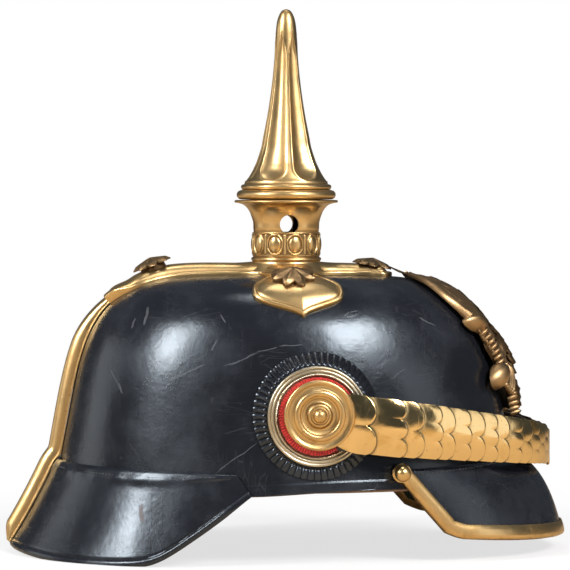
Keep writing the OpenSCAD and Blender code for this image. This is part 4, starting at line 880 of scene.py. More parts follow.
def build_neck(context):
    outer = [(16.9, NECK_FOOT + 0.05), (16.6, NECK_FOOT + 0.4), (16.6, BAND_TOP), (17.0, BAND_TOP + 2),
             (17.2, BAND_TOP + 5), (17.9, BAND_TOP + 8.3), (19.2, BAND_TOP + 11.2), (21.4, BAND_TOP + 13.6),
             (24.0, LIP_Z - 0.4), (25.6, LIP_Z - 0.2)]
    smooth_outer = spline([[i, r, h] for i, (r, h) in enumerate(outer[2:])], np.linspace(0, 7, 40)).tolist()
    profile = outer[:2] + smooth_outer + arc(LIP_R - 0.7, LIP_Z + 0.55, 0.7, -70, 90, 8)
    profile += [(12.1, SEAT), (12, SEAT + 13.4), (9.5, SEAT + 13.4), (9.5, LIP_Z - 3.4), (13, LIP_Z - 3.4),
                (13, NECK_FOOT)]
    # Painted shade: the bore gets 2.0, which paints it nearly black. The neck behind the beaded band gets 0.6.
    shade = [2.0 if r <= 13 and h < SEAT else 0.6 if h < BAND_TOP + 1.2 else 0.0 for r, h in profile]
    solid = Solid()
    solid.lathe(profile, upright, 160, shade=shade)
    neck = solid.make("vented_neck", "gilt_brass", "shell", ["spike_neck"], 40)
    cutters = []
    for k in (0, 1):
        bpy.ops.mesh.primitive_cylinder_add(vertices=64, radius=4.8 * MM, depth=0.06, location=(0, 0, 165 * MM),
                                            rotation=(0, PI / 2, 0) if k else (PI / 2, 0, 0))
        cutter = bpy.context.object
        cutters.append(cutter)
        cut = neck.modifiers.new(f"vent_{k}", "BOOLEAN")
        cut.object, cut.operation, cut.solver = cutter, "DIFFERENCE", "EXACT"
    bpy.context.view_layer.objects.active = neck
    for cut in list(neck.modifiers):
        bpy.ops.object.modifier_apply(modifier=cut.name)
    for cutter in cutters:
        bpy.data.objects.remove(cutter)
    neck.data.set_sharp_from_angle(angle=math.radians(40))


def build_jewels(context):
    sizes = context.scene.helmet_sizes
    count, mid = sizes.jewel_count, (NECK_FOOT + BAND_TOP) / 2
    a = turns(count * 44)
    z = np.linspace(NECK_FOOT + 0.15, BAND_TOP - 0.15, 46)[None, :]
    step = 2 * PI / count
    s = ((a + math.radians(97.8)) % step - step / 2) * (BAND_R + 0.8)
    h = z - mid
    half = step * (BAND_R + 0.8) / 2
    wide, tall = abs(s) / 4.4, abs(h) / 5.3
    frame_shape = mix(np.sqrt(wide**2 + tall**2), np.maximum(np.maximum(wide, tall), (wide + tall) / 1.45), 0.5)
    ring = 1.2 * np.sqrt(np.clip(1 - ((frame_shape - 0.93) / 0.1) ** 2, 0, 1))
    bead = np.sqrt(np.clip(1 - (s / 3.3) ** 2 - (h / 4.1) ** 2, 0, 1))
    bar = 0.75 * bump(abs(s) - half + 0.25, 0.3) * smooth((5.2 - abs(h)) / 0.6)
    rims = 0.8 * bump(abs(h) - 5.85, 0.35)
    relief = np.maximum.reduce([ring, 1.9 * bead, bar, rims + 0 * s])
    rise = 0.15 + mm(sizes.jewel_relief) * relief
    shade = np.clip(0.95 - relief, 0, 1)
    outer = xyz((BAND_R + rise) * np.cos(a), (BAND_R + rise) * np.sin(a), z + 0 * a)
    inner = xyz(BAND_R * np.cos(a), BAND_R * np.sin(a), z[:, ::-1][:, ::15] + 0 * a)
    solid = Solid()
    solid.shell(outer, inner, shade, 1.0, looped=True)
    solid.make("jewelled_band", "gilt_brass", "shell", ["jewel_band"], 60)


# Height over the spike's foot and radius
SPIKE_FORM = [[6.6, 21.4], [8.0, 20.4], [9.5, 19.5], [11, 18.8], [13, 17.9], [15, 17.0], [17.5, 15.8], [20.5, 14.7],
              [25, 13.2], [30.5, 12.1], [40.5, 10.1], [50.5, 8.45], [60, 7.2], [71, 6.15], [80, 5.5], [86, 5.1],
              [89.5, 4.6], [92, 3.85], [94, 2.8], [95.2, 1.5], [95.6, 0.25]]


def build_spike(context):
    sizes = context.scene.helmet_sizes
    count = sizes.flute_count
    h = [np.linspace(6.6, 24, 64), np.linspace(24, 86, 100)[1:], np.linspace(86, 95.6, 26)[1:]]
    h = np.concatenate(h)[:, None]
    radius = spline(SPIKE_FORM, h[:, 0])[:, 0][:, None]
    a = turns(count * 48).T
    step = 2 * PI / count
    delta = ((a + PI / 2) % step) - step / 2
    s = delta * radius
    half = radius * math.radians(21.5) * (1 - smooth((h - 70) / 18)) + 1e-3
    end = 8.8
    bottom = math.radians(21.5) * 17.2
    below = np.clip((end + bottom - h) / bottom, 0, 2)
    e = np.sqrt((s / half) ** 2 + np.where(h < end + bottom, below, 0) ** 2)
    depth = mm(sizes.flute_depth) * np.clip(radius / 16, 0.22, 1) * (1 - smooth((h - 74) / 14))
    fade = 1 - smooth((h - 80) / 8)
    cut = depth * np.clip(1 - e**2, 0, 1) ** 0.8
    lip = 0.3 * fade * bump(e - 1.1, 0.09) * np.clip(radius / 12, 0.4, 1)
    r = radius - cut + lip
    rows = xyz(r * np.cos(a), r * np.sin(a), SPIKE_FOOT + h + 0 * a)
    shade = 0.3 * bump(e - 0.97, 0.05) * fade * (h < 26) + 0.2 * np.clip(1 - e, 0, 1) * (h < 30)
    solid = Solid()
    solid.loft(rows, shade=shade)
    f = SPIKE_FOOT
    foot = [(12.05, f + 8.2), (12.05, f), (21.0, f), (21.2, f - 1.15)] + arc(22.9, f + 1.2, 2.35, -88, 80, 18)
    foot += [(22.3, f + 3.85), (22.0, f + 4.0)] + arc(21.7, f + 5.2, 1.35, -60, 95, 12)
    foot += [(21.3, f + 6.75), (21.0, f + 8.2)]
    shades = [0.9 if (3.8 < hh - f < 4.1 or hh < f - 0.5 or 6.6 < hh - f < 6.9) else 0.0 for _, hh in foot]
    solid.lathe(foot, upright, 160, shade=shades)
    solid.make("fluted_spike", "gilt_brass", "spike_body", ["spike"], 60)
    washer = Solid()
    z = SEAT + 0.15
    washer.lathe([(12.5, z), (20.4, z), (20.6, z + 0.3), (20.4, z + 0.8), (12.5, z + 0.8)], upright, 96)
    washer.make("seat_washer", "brown_leather", "spike_seat", ["spike_washer"])


# ---------------------------------------------------------------- front plate
# Steps up the brow behind the plate, and by the height up the plate: its gap from the skull, how far its
# relief stands out in its middle and at its sides, and half its width
PLATE_T, PLATE_RUN = climb(400, 66.9, 59.5)
PLATE_GAP = [[0, 3.6], [22, 3.6], [38, 2.6], [48, 1.8], [60, 1.3], [110, 1.3]]
MIDDLE_RELIEF = [[0, 2.2], [9, 2.3], [20, 1.45], [33, 1.0], [45, 0.5], [58, 0.32], [90, 0.3], [110, 0.6]]
SIDE_RELIEF = [[0, 1.2], [48, 1.0], [56, 0.7], [66, 0.55], [110, 0.5]]
PLATE_OUTLINE = [[0, 14], [3.8, 16.5], [9.7, 17], [14, 22], [18.5, 27], [23.7, 27], [30, 31], [35, 33], [41, 31.5],
                 [47, 33], [52.5, 37], [58, 36.5], [63, 36], [69, 34], [76, 31], [84, 26], [90, 19], [96, 9]]


def plate_xyz(y, q, lift):
    """Plate's coordinates, millimetres across and up from the tail, on the brow."""
    t = np.interp(np.clip(q, 0, None) / PLATE_RUN, np.linspace(0, 1, 400), PLATE_T)
    gap, middle, side = (np.interp(q, *np.array(table).T) for table in (PLATE_GAP, MIDDLE_RELIEF, SIDE_RELIEF))
    grow = gap + lift * mix(middle, side, smooth((abs(y) - 9) / 13)) + 2.2 * np.clip((q - 88) / 17, 0, 1.2) ** 2
    rise, spread = rise_and_spread(t)
    side = (WIDTH + grow) * spread
    x = (LENGTH + grow) * spread * np.sqrt(np.maximum(1 - (y / side) ** 2, 0))
    over = np.clip(q - PLATE_RUN, 0, None)
    return xyz(x - over * 0.97, y, BRIM + (HEIGHT + grow) * rise + np.minimum(q, 0) + over * 0.2)


def plate_painted_shade(y):
    """Painted shade: the plate is darker in its middle than along its wings, as if shade fell on the middle."""
    return 0.85 * (1 - smooth((abs(y) - 9) / 13))


def leaf(solid, start, end, width, lift, height, curl=0.0, barbs=0.0, point=0.5, n=18, m=11):
    """A feather or other leaf-shaped relief between two points of the plate."""
    s = np.linspace(0, 1, n)[:, None]
    c = np.linspace(-1, 1, m)[None, :]
    start, end = np.array(start, float), np.array(end, float)
    way = end - start
    across = np.array([-way[1], way[0]]) / np.linalg.norm(way)
    half = width / 2 * np.clip(0.45 + 1.3 * s, 0, 1) * np.clip((1 - s) * 3.2 + 0.02, 0, 1) ** point
    bow = curl * np.sin(PI * s / 2) ** 2
    y = start[0] + way[0] * s + across[0] * (c * half + bow)
    q = start[1] + way[1] * s + across[1] * (c * half + bow)
    body = np.sqrt(np.clip(1 - c * c, 0, 1))
    barb = np.sin(s * 46 + abs(c) * 3.5)
    rise = height * body * (1 - 0.45 * s) + 0.3 * bump(c, 0.16) * (1 - s) + barbs * barb * body
    first, last = lift
    level = mix(first, last, s)
    top = plate_xyz(y, q, level + rise)
    low = plate_xyz(y[:, ::-1], q[:, ::-1], level - 0.5)
    shade = np.clip(0.9 - 1.3 * body, 0, 1) + 0 * s + (0.25 * (barb < -0.3) if barbs else 0)
    # Painted shade on the bird's middle, added to the leaf's own shade.
    shade = np.minimum(shade + plate_painted_shade(y), 1)
    solid.shell(top, low, shade, shade)


def knob(solid, y, q, radius, lift, high, stretch=1.0, turn=0.0):
    """A smooth rounded lump of the relief, longer one way and turned by an angle."""
    a = turns(24)
    r = np.sin(np.linspace(0, PI / 2, 12))[None, :]
    along, across = radius * stretch * r * np.cos(a), radius * r * np.sin(a)
    yy = y + along * math.cos(turn) - across * math.sin(turn)
    qq = q + along * math.sin(turn) + across * math.cos(turn)
    top = plate_xyz(yy, qq, lift + high * np.sqrt(np.clip(1 - r * r, 0, 1)) + 0 * a)
    low = plate_xyz(yy[:, ::-1], qq[:, ::-1], lift - 0.5)
    solid.shell(top, low, 0.6 * r**6, 0.8, looped=True)


def build_plate(context):
    solid = Solid()
    q = np.linspace(2, 96, 60)
    half = spline(PLATE_OUTLINE, q)[:, 0] - 1.5
    c = np.linspace(-1, 1, 25)[None, :]
    y = half[:, None] * c
    qq = np.broadcast_to(q[:, None], y.shape)
    solid.shell(plate_xyz(y, qq, 1.1), plate_xyz(y[:, ::-1], qq, 0.0), 0.9, 0.9)
    for sign in (-1, 1):
        plate_wing(solid, sign)
        plate_leg(solid, sign)
    plate_body(solid)
    solid.make("spread_bird_plate", "dark_bronze", "shell", ["front_plate"], 60)


def ridge(solid, sign, points, widths, lift, high, count=40):
    """A smooth rounded band that runs through points of the plate."""
    s = np.linspace(0, 1, count)
    key = np.linspace(0, 1, len(points))
    y, q, w = spline([[k, *p, b] for k, p, b in zip(key, points, widths)], s).T
    way = unit(np.stack([np.gradient(y), np.gradient(q)], -1))
    c = np.linspace(-1, 1, 13)[None, :]
    yy = sign * (y[:, None] - way[:, 1:] * c * w[:, None] / 2)
    qq = q[:, None] + way[:, :1] * c * w[:, None] / 2
    body = np.sqrt(np.clip(1 - c * c, 0, 1))
    top = plate_xyz(yy, qq, lift + high * body)
    low = plate_xyz(yy[:, ::-1], qq[:, ::-1], lift - 0.5)
    shade = np.clip(0.8 - 1.2 * body, 0, 1) + 0 * yy
    solid.shell(top, low, shade, 0.8)


def feathers(solid, sign, count, root, tip, width, lift, height, curl=0.0, barbs=0.0, sweep=0.0):
    """A row of like feathers. root and tip give y and q, each from the outer feather to the inner one."""
    for k in range(count):
        share = k / (count - 1)
        y0, q0, y1, q1 = (mix(*ends, share) for ends in (*root, *tip))
        leaf(solid, (sign * y0, q0), (sign * y1, q1 - sweep * math.sin(PI * share)), width, lift, height, curl, barbs)


def plate_wing(solid, sign):
    """Wing: flight feathers hung from a smooth arm, coverts over them and a beaded outer edge."""
    tips = [(35.5, 45), (34.5, 42), (33.6, 39), (32.6, 36.2), (31.6, 33.5), (30.4, 31), (26, 33), (22, 35),
            (18.5, 38)]
    for k, tip in enumerate(tips):
        share = k / (len(tips) - 1)
        root = (mix(31, 7, share), mix(66, 60, share))
        leaf(solid, (sign * root[0], root[1]), (sign * tip[0], tip[1]), 5.2, (2.3, 1.2 + 0.4 * (k % 2)), 1.3,
             curl=-sign * 1.2, barbs=0.16)
    feathers(solid, sign, 9, ((29, 6), (72, 66)), ((31, 12), (50, 47)), 4.8, (3.0, 2.6), 1.2, -sign * 0.8, 0.12, 2.5)
    feathers(solid, sign, 8, ((26, 6), (79, 72)), ((29.5, 9.5), (60, 56)), 4.6, (3.4, 3.4), 1.1)
    feathers(solid, sign, 6, ((20, 4.5), (86, 80)), ((25, 7), (70, 66)), 4.6, (3.4, 4.0), 1.1)
    leaf(solid, (sign * 13, 88.5), (sign * 0.6, 106), 4.6, (2.0, 0.4), 1.0, sign * 1.0, 0.0, 0.9, 26)
    ridge(solid, sign, [(7, 94.5), (12.5, 90.5), (20, 85.5), (27.5, 78), (33, 69), (35.3, 61), (35.0, 51)],
          [1.0, 3.2, 4.2, 4.6, 4.6, 4.2, 3.4], 1.5, 3.4)
    for k in range(6):
        share = k / 5
        knob(solid, sign * mix(30.5, 35.5, share), mix(76, 57, share), 1.0, 1.6, 2.6)
    knob(solid, sign * 34.6, 47.6, 3.5, 0.8, 5.4, 1.4, sign * 0.6)
    knob(solid, sign * 31.2, 45.2, 2.7, 0.8, 4.6, 1.3, sign * 0.6)
    for k in range(7):
        share = k / 6
        y0, q0 = mix(31.0, 26.4, share) - 1.0 * math.sin(PI * share), mix(42.2, 26.4, share)
        knob(solid, sign * y0, q0, 1.3, 1.6, 3.2, 2.3, sign * -0.5)
    knob(solid, sign * 31.8, 19.6, 5.0, 0.5, 6.0, 1.5, sign * -0.75)


def plate_leg(solid, sign):
    """Thigh, claws and the fan of fine ribs beside the tail."""
    leaf(solid, (sign * 5, 38), (sign * 15.5, 28), 8.5, (3.4, 2.4), 2.8, 0.0, 0.14, 0.6)
    leaf(solid, (sign * 13.5, 30), (sign * 21.5, 27), 3.6, (2.6, 2.6), 1.6)
    for k in range(6):
        share = k / 5
        tip = (mix(24.4, 15.5, share), mix(14.2, 8.8, share))
        leaf(solid, (sign * mix(21, 9, share), mix(24, 20, share)), (sign * tip[0], tip[1]), 2.2, (2.0, 1.6), 1.7,
             0, 0, 0.5, 14, 9)
        knob(solid, sign * tip[0], tip[1] + 0.4, 1.15, 1.6, 1.6)
    for q0 in (7.6, 4.9, 2.4, 0.2):
        knob(solid, sign * (15.2 + q0 * 0.16), q0, 1.5, 0.8, 2.6)


def plate_body(solid):
    """Tail, breast, and head turned aside."""
    for k in (-3, 3, -2, 2, -1, 1, 0):
        tip = (k * 4.2, 1.2 + 0.9 * abs(k) ** 1.4)
        leaf(solid, (k * 1.4, 29), tip, 5.6, (2.4, 1.3 + 0.35 * (3 - abs(k))), 1.5, 0.0, 0.18, 0.42, 22)
    for k in (-1.5, -0.5, 0.5, 1.5):
        leaf(solid, (k * 2.2, 30), (k * 4.2, 17), 4.6, (3.6, 3.6), 1.4, 0.0, 0.1)
    leaf(solid, (0, 68), (0, 23), 17, (2.2, 2.2), 4.6, 0.0, 0.0, 0.45, 36, 17)
    for row in range(9):
        for k in range(-2, 3):
            y = (k + 0.5 * (row % 2)) * 3.0
            q0 = 60 - row * 4.1
            if abs(y) < 7.4:
                lift = 2.4 + 4.4 * math.sqrt(max(0.05, 1 - (y / 8.8) ** 2)) * (1 - 0.35 * row / 9)
                leaf(solid, (y, q0), (y * 1.06, q0 - 5.8), 3.6, (lift - 0.5, lift + 0.35), 0.75, 0.0, 0.0, 0.6, 8, 7)
    leaf(solid, (0, 58), (-1.5, 82), 9.5, (3.4, 2.6), 3.4, 0.8, 0.0, 0.35, 20)
    knob(solid, -1.8, 81.5, 4.6, 2.6, 3.8, 1.0)
    leaf(solid, (-4.5, 82.5), (-11.5, 78.8), 4.4, (4.0, 3.2), 2.2, 1.5, 0.0, 0.8)
    knob(solid, -3.6, 83.4, 0.9, 6.0, 0.8)
    for k in range(4):
        root, tip = (1.0 + k * 0.4, 84 - k * 3.2), (5.6 + k * 0.3, 82.5 - k * 4.4)
        leaf(solid, root, tip, 3.4, (3.6, 3.0), 1.2, 0, 0, 0.9, 10, 7)
    for k in range(6):
        for y in (-3.0, 0.2, 3.2):
            q0 = 78 - k * 3.4
            lift = (4.9 - abs(y) * 0.4, 5.5 - abs(y) * 0.4)
            leaf(solid, (y - 0.4, q0), (y, q0 - 5), 3.4, lift, 0.7, 0, 0, 0.6, 8, 7)


# ---------------------------------------------------------------- side fittings
# Inner and outer radius of the pleats
PLEAT_IN, PLEAT_OUT = 24.9, 31.0


def add_pleats(name, sign, pleats, rise):
    """Pleated leather round a cockade, down to the skull's side."""
    a = turns(pleats * 10)
    fold = abs(np.cos(a * pleats / 2)) ** 0.55

    def skin(r):
        z = PIVOT_Z + r * np.sin(a)
        x = PIVOT_X + r * np.cos(a)
        return dome_side(z, SEAT_GAP) * np.sqrt(1 - (x / dome_reach(z, SEAT_GAP)) ** 2)
    r = np.array([PLEAT_IN, 25.6, 26.4, 27.4, 28.4, 29.4, 30.2, 30.8])[None, :]
    s = (r - PLEAT_IN) / 6
    edge = mix(FITTING_Y - 0.1 + 0 * a, skin(PLEAT_OUT) + 0.6, smooth(s) ** 0.8 + 0 * a)
    crest = rise * np.clip(s * 4, 0, 1) * np.sqrt(np.clip(1.12 - s, 0, 1)) * fold
    out = edge + 0.35 * np.sin(PI * np.clip(s, 0, 1)) + crest - 0.25
    rr = r + 0.7 * (fold - 0.5) * s
    front = xyz(PIVOT_X + rr * np.cos(a), sign * out, PIVOT_Z + rr * np.sin(a))
    tail = xyz(PIVOT_X + PLEAT_OUT * np.cos(a), sign * (skin(PLEAT_OUT) + 0.15), PIVOT_Z + PLEAT_OUT * np.sin(a))
    back = [xyz(PIVOT_X + q * np.cos(a), sign * (skin(q) + 0.15), PIVOT_Z + q * np.sin(a)) for q in (25.0, 17.0)]
    face = xyz(PIVOT_X + 17 * np.cos(a), sign * (FITTING_Y - 0.1) + 0 * a, PIVOT_Z + 17 * np.sin(a))
    rows = np.concatenate([face, front, tail, *back], axis=1)
    solid = Solid()
    solid.loft(rows, looped=True)
    solid.make(f"{name}_pleats", "lacquered_leather", "shell", [f"{name}_pleated_ring"], 50)


def add_cockade_ring(name, sign):
    """Turned metal ring, milled along its inner edge."""
    place, y = at_pivot(sign), FITTING_Y
    rim = [(3.3, y), (24.3, y), (24.5, y + 0.3), (24.5, y + 1.6)] + arc(23.7, y + 1.75, 0.8, 0, 130, 8)
    rim += arc(22.1, y + 1.7, 0.85, 30, 150, 8) + [(21.1, y + 1.75)] + arc(20.4, y + 1.7, 0.62, 40, 150, 6)
    rim += [(19.6, y + 1.2), (19.5, y + 0.8), (3.3, y + 0.8)]
    ring = Solid()
    r0, h0 = np.array(rim).T
    angle = turns(240)
    mill = 0.12 * np.sign(np.sin(angle * 120)) * ((r0 > 19.7) & (r0 < 21.0) & (h0 > y + 1.3))[None, :]
    dirty = (abs(r0 - 23.0) < 0.15) | (abs(r0 - 21.1) < 0.15) | (r0 < 19.7)
    ring.loft(place(r0[None, :] + 0 * angle, angle, h0[None, :] + mill), looped=True,
              shade=np.where(dirty, 0.9, 0.1))
    ring.make(f"{name}_cockade_ring", "cockade_metal", "shell", [f"{name}_cockade"], 40)


def add_felt(name, sign):
    """Disc of ribbed red cloth."""
    place, y = at_pivot(sign), FITTING_Y
    disc = Solid()
    ribs = 84
    angle = turns(ribs * 6)
    r0 = np.array([5.8, 12, 15, 17, 18.2, 19.0, 19.2, 19.2, 5.8])[None, :]
    h0 = np.array([2.0, 2.1, 2.1, 2.05, 1.95, 1.6, 1.3, 0.95, 0.95])[None, :]
    wave = 0.22 * np.cos(angle * ribs) * np.clip((r0 - 12) / 5, 0, 1) * (h0 > 1.2)
    disc.loft(place(r0 + 0 * angle, angle, y + h0 + wave - 0.15), looped=True,
              shade=np.clip(-wave * 3.5, 0, 1) + 0 * angle)
    disc.make(f"{name}_red_felt", "red_cloth", "shell", [f"{name}_red_disc"])


def build_cockades(context):
    sizes = context.scene.helmet_sizes
    for name, sign in SIDES.items():
        add_pleats(name, sign, sizes.pleat_count, mm(sizes.pleat_height))
        add_cockade_ring(name, sign)
        add_felt(name, sign)


def build_rosettes(context):
    back = 92.3
    for name, sign in SIDES.items():
        profile = [(0, 75.5), (3, 75.5), (3, 87.4), (5.5, 87.4), (5.5, back), (16.4, back)]
        profile += arc(16.1, back + 1.25, 1.1, -60, 100, 10) + [(15.2, back + 1.9), (14.7, back + 1.55)]
        profile += [(13.6, back + 1.5), (12.9, back + 1.7)]
        profile += arc(10.9, back + 2.3, 1.75, 165, 15, 12)
        profile += [(8.9, back + 2.1), (8.2, back + 1.6), (7.0, back + 1.5)]
        profile += [(6.2, back + 1.9), (5.7, back + 2.9), (5.3, back + 3.3), (4.7, back + 3.35), (4.4, back + 3.1)]
        profile += arc(0, back + 3.6, 3.6, -5, 90, 14)
        radii = np.array([p[0] for p in profile])
        shade = 0.85 * bump(radii - 14.4, 0.5) + 0.7 * bump(radii - 8.2, 0.7) + 0.8 * bump(radii - 4.4, 0.35)
        shade = np.clip(shade, 0, 1)
        shade[-10:] = 0
        solid = Solid()
        solid.lathe(profile, lambda r, a, h: at_pivot(sign)(r, a, h) + np.array([0.2, 0, 0.9]), 128, shade)
        solid.make(f"{name}_turned_rosette", "gilt_brass", "shell", [f"{name}_rosette"], 42)


# ---------------------------------------------------------------- chin straps
# In the plan the strap runs straight from the pivot for its lead, bends by a turn, runs straight on from
# the lead's end and follows an arc round the front
FRONT_Z = 50.9
FRONT_R, FRONT_X, STRAP_LENGTH, LEAD, BEND_R = 66.343, 65.157, 170.279, 26.0, 60.0
TURN = math.radians(35)
BEND_RUN, FRONT_RUN = BEND_R * TURN, FRONT_R * math.radians(55)
LEAD_END = (67.2146, -79.5491)
# Where each scale ends along the strap
SCALE_ENDS = [27.5, 42, 51, 61.5, 70, 81, 90.5, 99.5, 107.5, 117, 125.5, 134, 142.5, 151, 159.3]
# Start of the first scale, lap of each over the next, and the buckle's distance out of the strap
SCALE_START, SCALE_LAP, BUCKLE_OUT = 6.5, 2.8, 2.85


def strap_line(s):
    """Plan point and outward direction of the right strap's middle line."""
    s = np.asarray(s, float)
    h = np.clip((s - LEAD) / BEND_RUN, 0, 1) * TURN + np.clip(s - STRAP_LENGTH + FRONT_RUN, 0, None) / FRONT_R
    x1, y1 = PIVOT_X + s, np.full_like(s, -STRAP_Y)
    x2, y2 = PIVOT_X + LEAD + BEND_R * np.sin(h), -STRAP_Y + BEND_R * (1 - np.cos(h))
    d = s - LEAD - BEND_RUN
    x3, y3 = LEAD_END[0] + d * math.cos(TURN), LEAD_END[1] + d * math.sin(TURN)
    x4, y4 = FRONT_X + FRONT_R * np.sin(h), -FRONT_R * np.cos(h)
    pick = [s < LEAD, s < LEAD + BEND_RUN, s < STRAP_LENGTH - FRONT_RUN]
    return np.select(pick, [x1, x2, x3], x4), np.select(pick, [y1, y2, y3], y4), np.sin(h), -np.cos(h)


def on_strap(s, up, out, sign):
    """A point beside the strap's middle line: height above it and distance out of it."""
    x, y, nx, ny = strap_line(s)
    z = mix(PIVOT_Z - 1.2, FRONT_Z, np.asarray(s) / STRAP_LENGTH) + up
    return xyz(x + nx * out, -sign * (y + ny * out), z)


def strap_half(s):
    """Half the width of the chin strap along it."""
    return mix(30.2, 19.0, np.clip(np.asarray(s) / STRAP_LENGTH, 0, 1) ** 1.15) / 2


def build_scales(context):
    sizes = context.scene.helmet_sizes
    thick = mm(sizes.scale_thickness)
    for name, sign in SIDES.items():
        solid = Solid()
        before = None
        for i, far in enumerate(SCALE_ENDS):
            near = SCALE_START if i == 0 else SCALE_ENDS[i - 1] - SCALE_LAP
            length, half = far - near, float(strap_half(far))
            lobes = 2 if i % 2 == 0 else 3
            lobe_r = half / lobes * 1.04
            z = np.linspace(-1, 1, 24 * lobes + 1)[:, None] * half
            centres = half * (2 * np.arange(lobes) + 1 - lobes) / lobes
            nearest = np.min(abs(z - centres[None, :]), axis=1)[:, None]
            reach = length - lobe_r + np.sqrt(np.clip(lobe_r**2 - nearest**2, 0, None)) * 0.8 + lobe_r * 0.2
            reach = np.where(nearest > lobe_r, length - lobe_r, reach)
            s = (1 - (1 - np.linspace(0, 1, 26)) ** 1.5)[None, :]
            along = s * reach
            narrow = 1 - 0.28 * np.clip(1 - along / 13, 0, 1) ** 2 if i == 0 else 1.0
            start = smooth((near + along - 14) / 9) if i == 0 else 1.0
            bow = 1.75 * (1 - (z / half) ** 2) * half * half / 182 * start
            tilt = mix(1.7, 0.95, i / 14) * (along / length) ** 1.2
            edge = reach - along
            round_edge = -0.35 * bump(edge, 0.35)
            pillow = 0.3 * np.clip(1 - (nearest / lobe_r) ** 2, 0, 1) * smooth(along / length * 1.6 - 0.4)
            out = 1.0 + bow + tilt + pillow
            top = on_strap(near + along, z * narrow, out + thick + round_edge, sign)
            low = on_strap(near + along, z * narrow, out - 0.05, sign)[:, ::-1]
            shade = 0.35 * bump(abs(z) - half, 0.3) + 0 * along
            # Past the previous scale's edge: verdigris in the joint and a painted shadow of that edge, wider at the
            # notches between lobes.
            if before is not None:
                shadow = np.interp(z[:, 0], *before)[:, None] - near
                notch = smooth((before_far - near - shadow) / 3.0)
                shade = np.maximum(shade, bump(np.clip(along - shadow - 0.15, 0, None), 1.05 + 1.1 * notch))
            before, before_far = (z[:, 0], near + reach[:, 0]), far
            solid.shell(top, low, shade, 0.8)
        eye = [(5.6, 91.4), (14.0, 91.4), (14.5, 91.6), (14.4, 91.95), (5.6, 92.0)]
        solid.lathe(eye, at_pivot(sign), 64)
        solid.make(f"{name}_brass_scales", "scale_brass", f"{name}_chinscale", [f"{name}_scales"], 48, "gilt_brass")


def strap_band(solid, start, end, sign):
    """The strap's leather from one distance along it to another."""
    s = np.linspace(start, end, 120)
    half, wall = strap_half(s) - 0.8, 1.8
    section = [(1, -0.5), (1, 0.5), (0.97, 0.9), (0.6, 0.98), (0, 1), (-0.6, 0.98), (-0.97, 0.9), (-1, 0.5),
               (-1, -0.5), (-0.97, -0.9), (-0.6, -0.98), (0, -1), (0.6, -0.98), (0.97, -0.9)]
    solid.loft(np.stack([on_strap(s, half * a, wall / 2 * b, sign) for a, b in section], axis=1))


def front_point(y, out, up):
    """A point on the front bend: y across, distance out of the strap, height from its middle."""
    a = np.arcsin(np.asarray(y, float) / FRONT_R)
    return xyz(FRONT_X + (FRONT_R + out) * np.cos(a), (FRONT_R + out) * np.sin(a), FRONT_Z + np.asarray(up, float))


def build_straps(context):
    eye = [(5.6, 89.5), (13.7, 89.5), (14.0, 90.0), (14.0, 90.8), (13.7, 91.3), (5.6, 91.3)]
    for name, sign in SIDES.items():
        solid = Solid()
        solid.lathe(eye, at_pivot(sign), 64)
        stop = 9.0 if sign < 0 else 2.0
        strap_band(solid, 9.0, STRAP_LENGTH - FRONT_R * math.asin(stop / FRONT_R), sign)
        if sign < 0:
            y = np.linspace(-20, 22, 60)
            shift = -2.1 * smooth((y + 21) / 6)
            section = [(6.5, -0.9), (6.5, 0.9), (-6.5, 0.9), (-6.5, -0.9)]
            taper = np.clip((22.5 - y) / 5, 0.35, 1) ** 0.5
            rows = np.stack([front_point(y, shift + b, a * taper) for a, b in section], axis=1)
            solid.loft(rows[4:])
        else:
            for low in (-6.5, 2.5):
                turn = np.radians(np.linspace(-100, 260, 25)[:-1])
                loop = [(BUCKLE_OUT + 1.75 * np.cos(t), 5 + 1.75 * np.sin(t)) for t in turn]
                rows = np.stack([[front_point(y, o, low + h)[()] for o, y in loop] for h in np.linspace(0, 4, 6)])
                solid.loft(rows)
        solid.make(f"{name}_strap_leather", "strap_leather", f"{name}_chinscale", [f"{name}_strap"])


def add_frame():
    """The buckle's frame: a round bar in a rectangle with rounded corners."""
    half, corner = 8.5, 1.6
    solid = Solid()
    loop = []
    for cy, cz, start in ((5 - corner, half - corner, 0), (-9 + corner, half - corner, 90),
                          (-9 + corner, -half + corner, 180), (5 - corner, -half + corner, 270)):
        for t in np.radians(np.linspace(start, start + 90, 8)):
            loop.append((cy + corner * math.cos(t), cz + corner * math.sin(t)))
    loop = np.array(loop)
    fine = np.concatenate([np.linspace(loop[i], loop[(i + 1) % len(loop)], 5)[:-1] for i in range(len(loop))])
    tube(solid, front_point(fine[:, 0], BUCKLE_OUT, fine[:, 1]), 0.9, 12, looped=True, up=(1, 0, 0))
    solid.make("buckle_frame_bars", "gilt_brass", "left_chinscale", ["buckle_frame"], 60)


def add_tongue():
    """The buckle's tongue: a sleeve on the frame's bar and a pin that dips through the strap."""
    prong = Solid()
    hub = front_point(5, BUCKLE_OUT, 0)
    prong.lathe([(0.95, -1.2), (1.6, -1.2), (1.7, -0.9), (1.7, 0.9), (1.6, 1.2), (0.95, 1.2)],
                lambda r, a, h: xyz(hub[0] + r * np.cos(a), hub[1] + r * np.sin(a), hub[2] + h), 32)
    s = np.linspace(0, 1, 24)
    pin = front_point(mix(3.4, -6.4, s), BUCKLE_OUT + 0.4 * np.sin(PI * s), 0 * s)
    tip = front_point(-6.9 + 0 * s[:6], mix(BUCKLE_OUT - 0.5, -0.9, np.linspace(0, 1, 6)), 0 * s[:6])
    path = np.concatenate([pin, tip])
    tube(prong, path, 0.7, 10, up=(0, 0, 1))
    prong.make("buckle_tongue", "gilt_brass", "prong_body", ["buckle_prong"], 60)


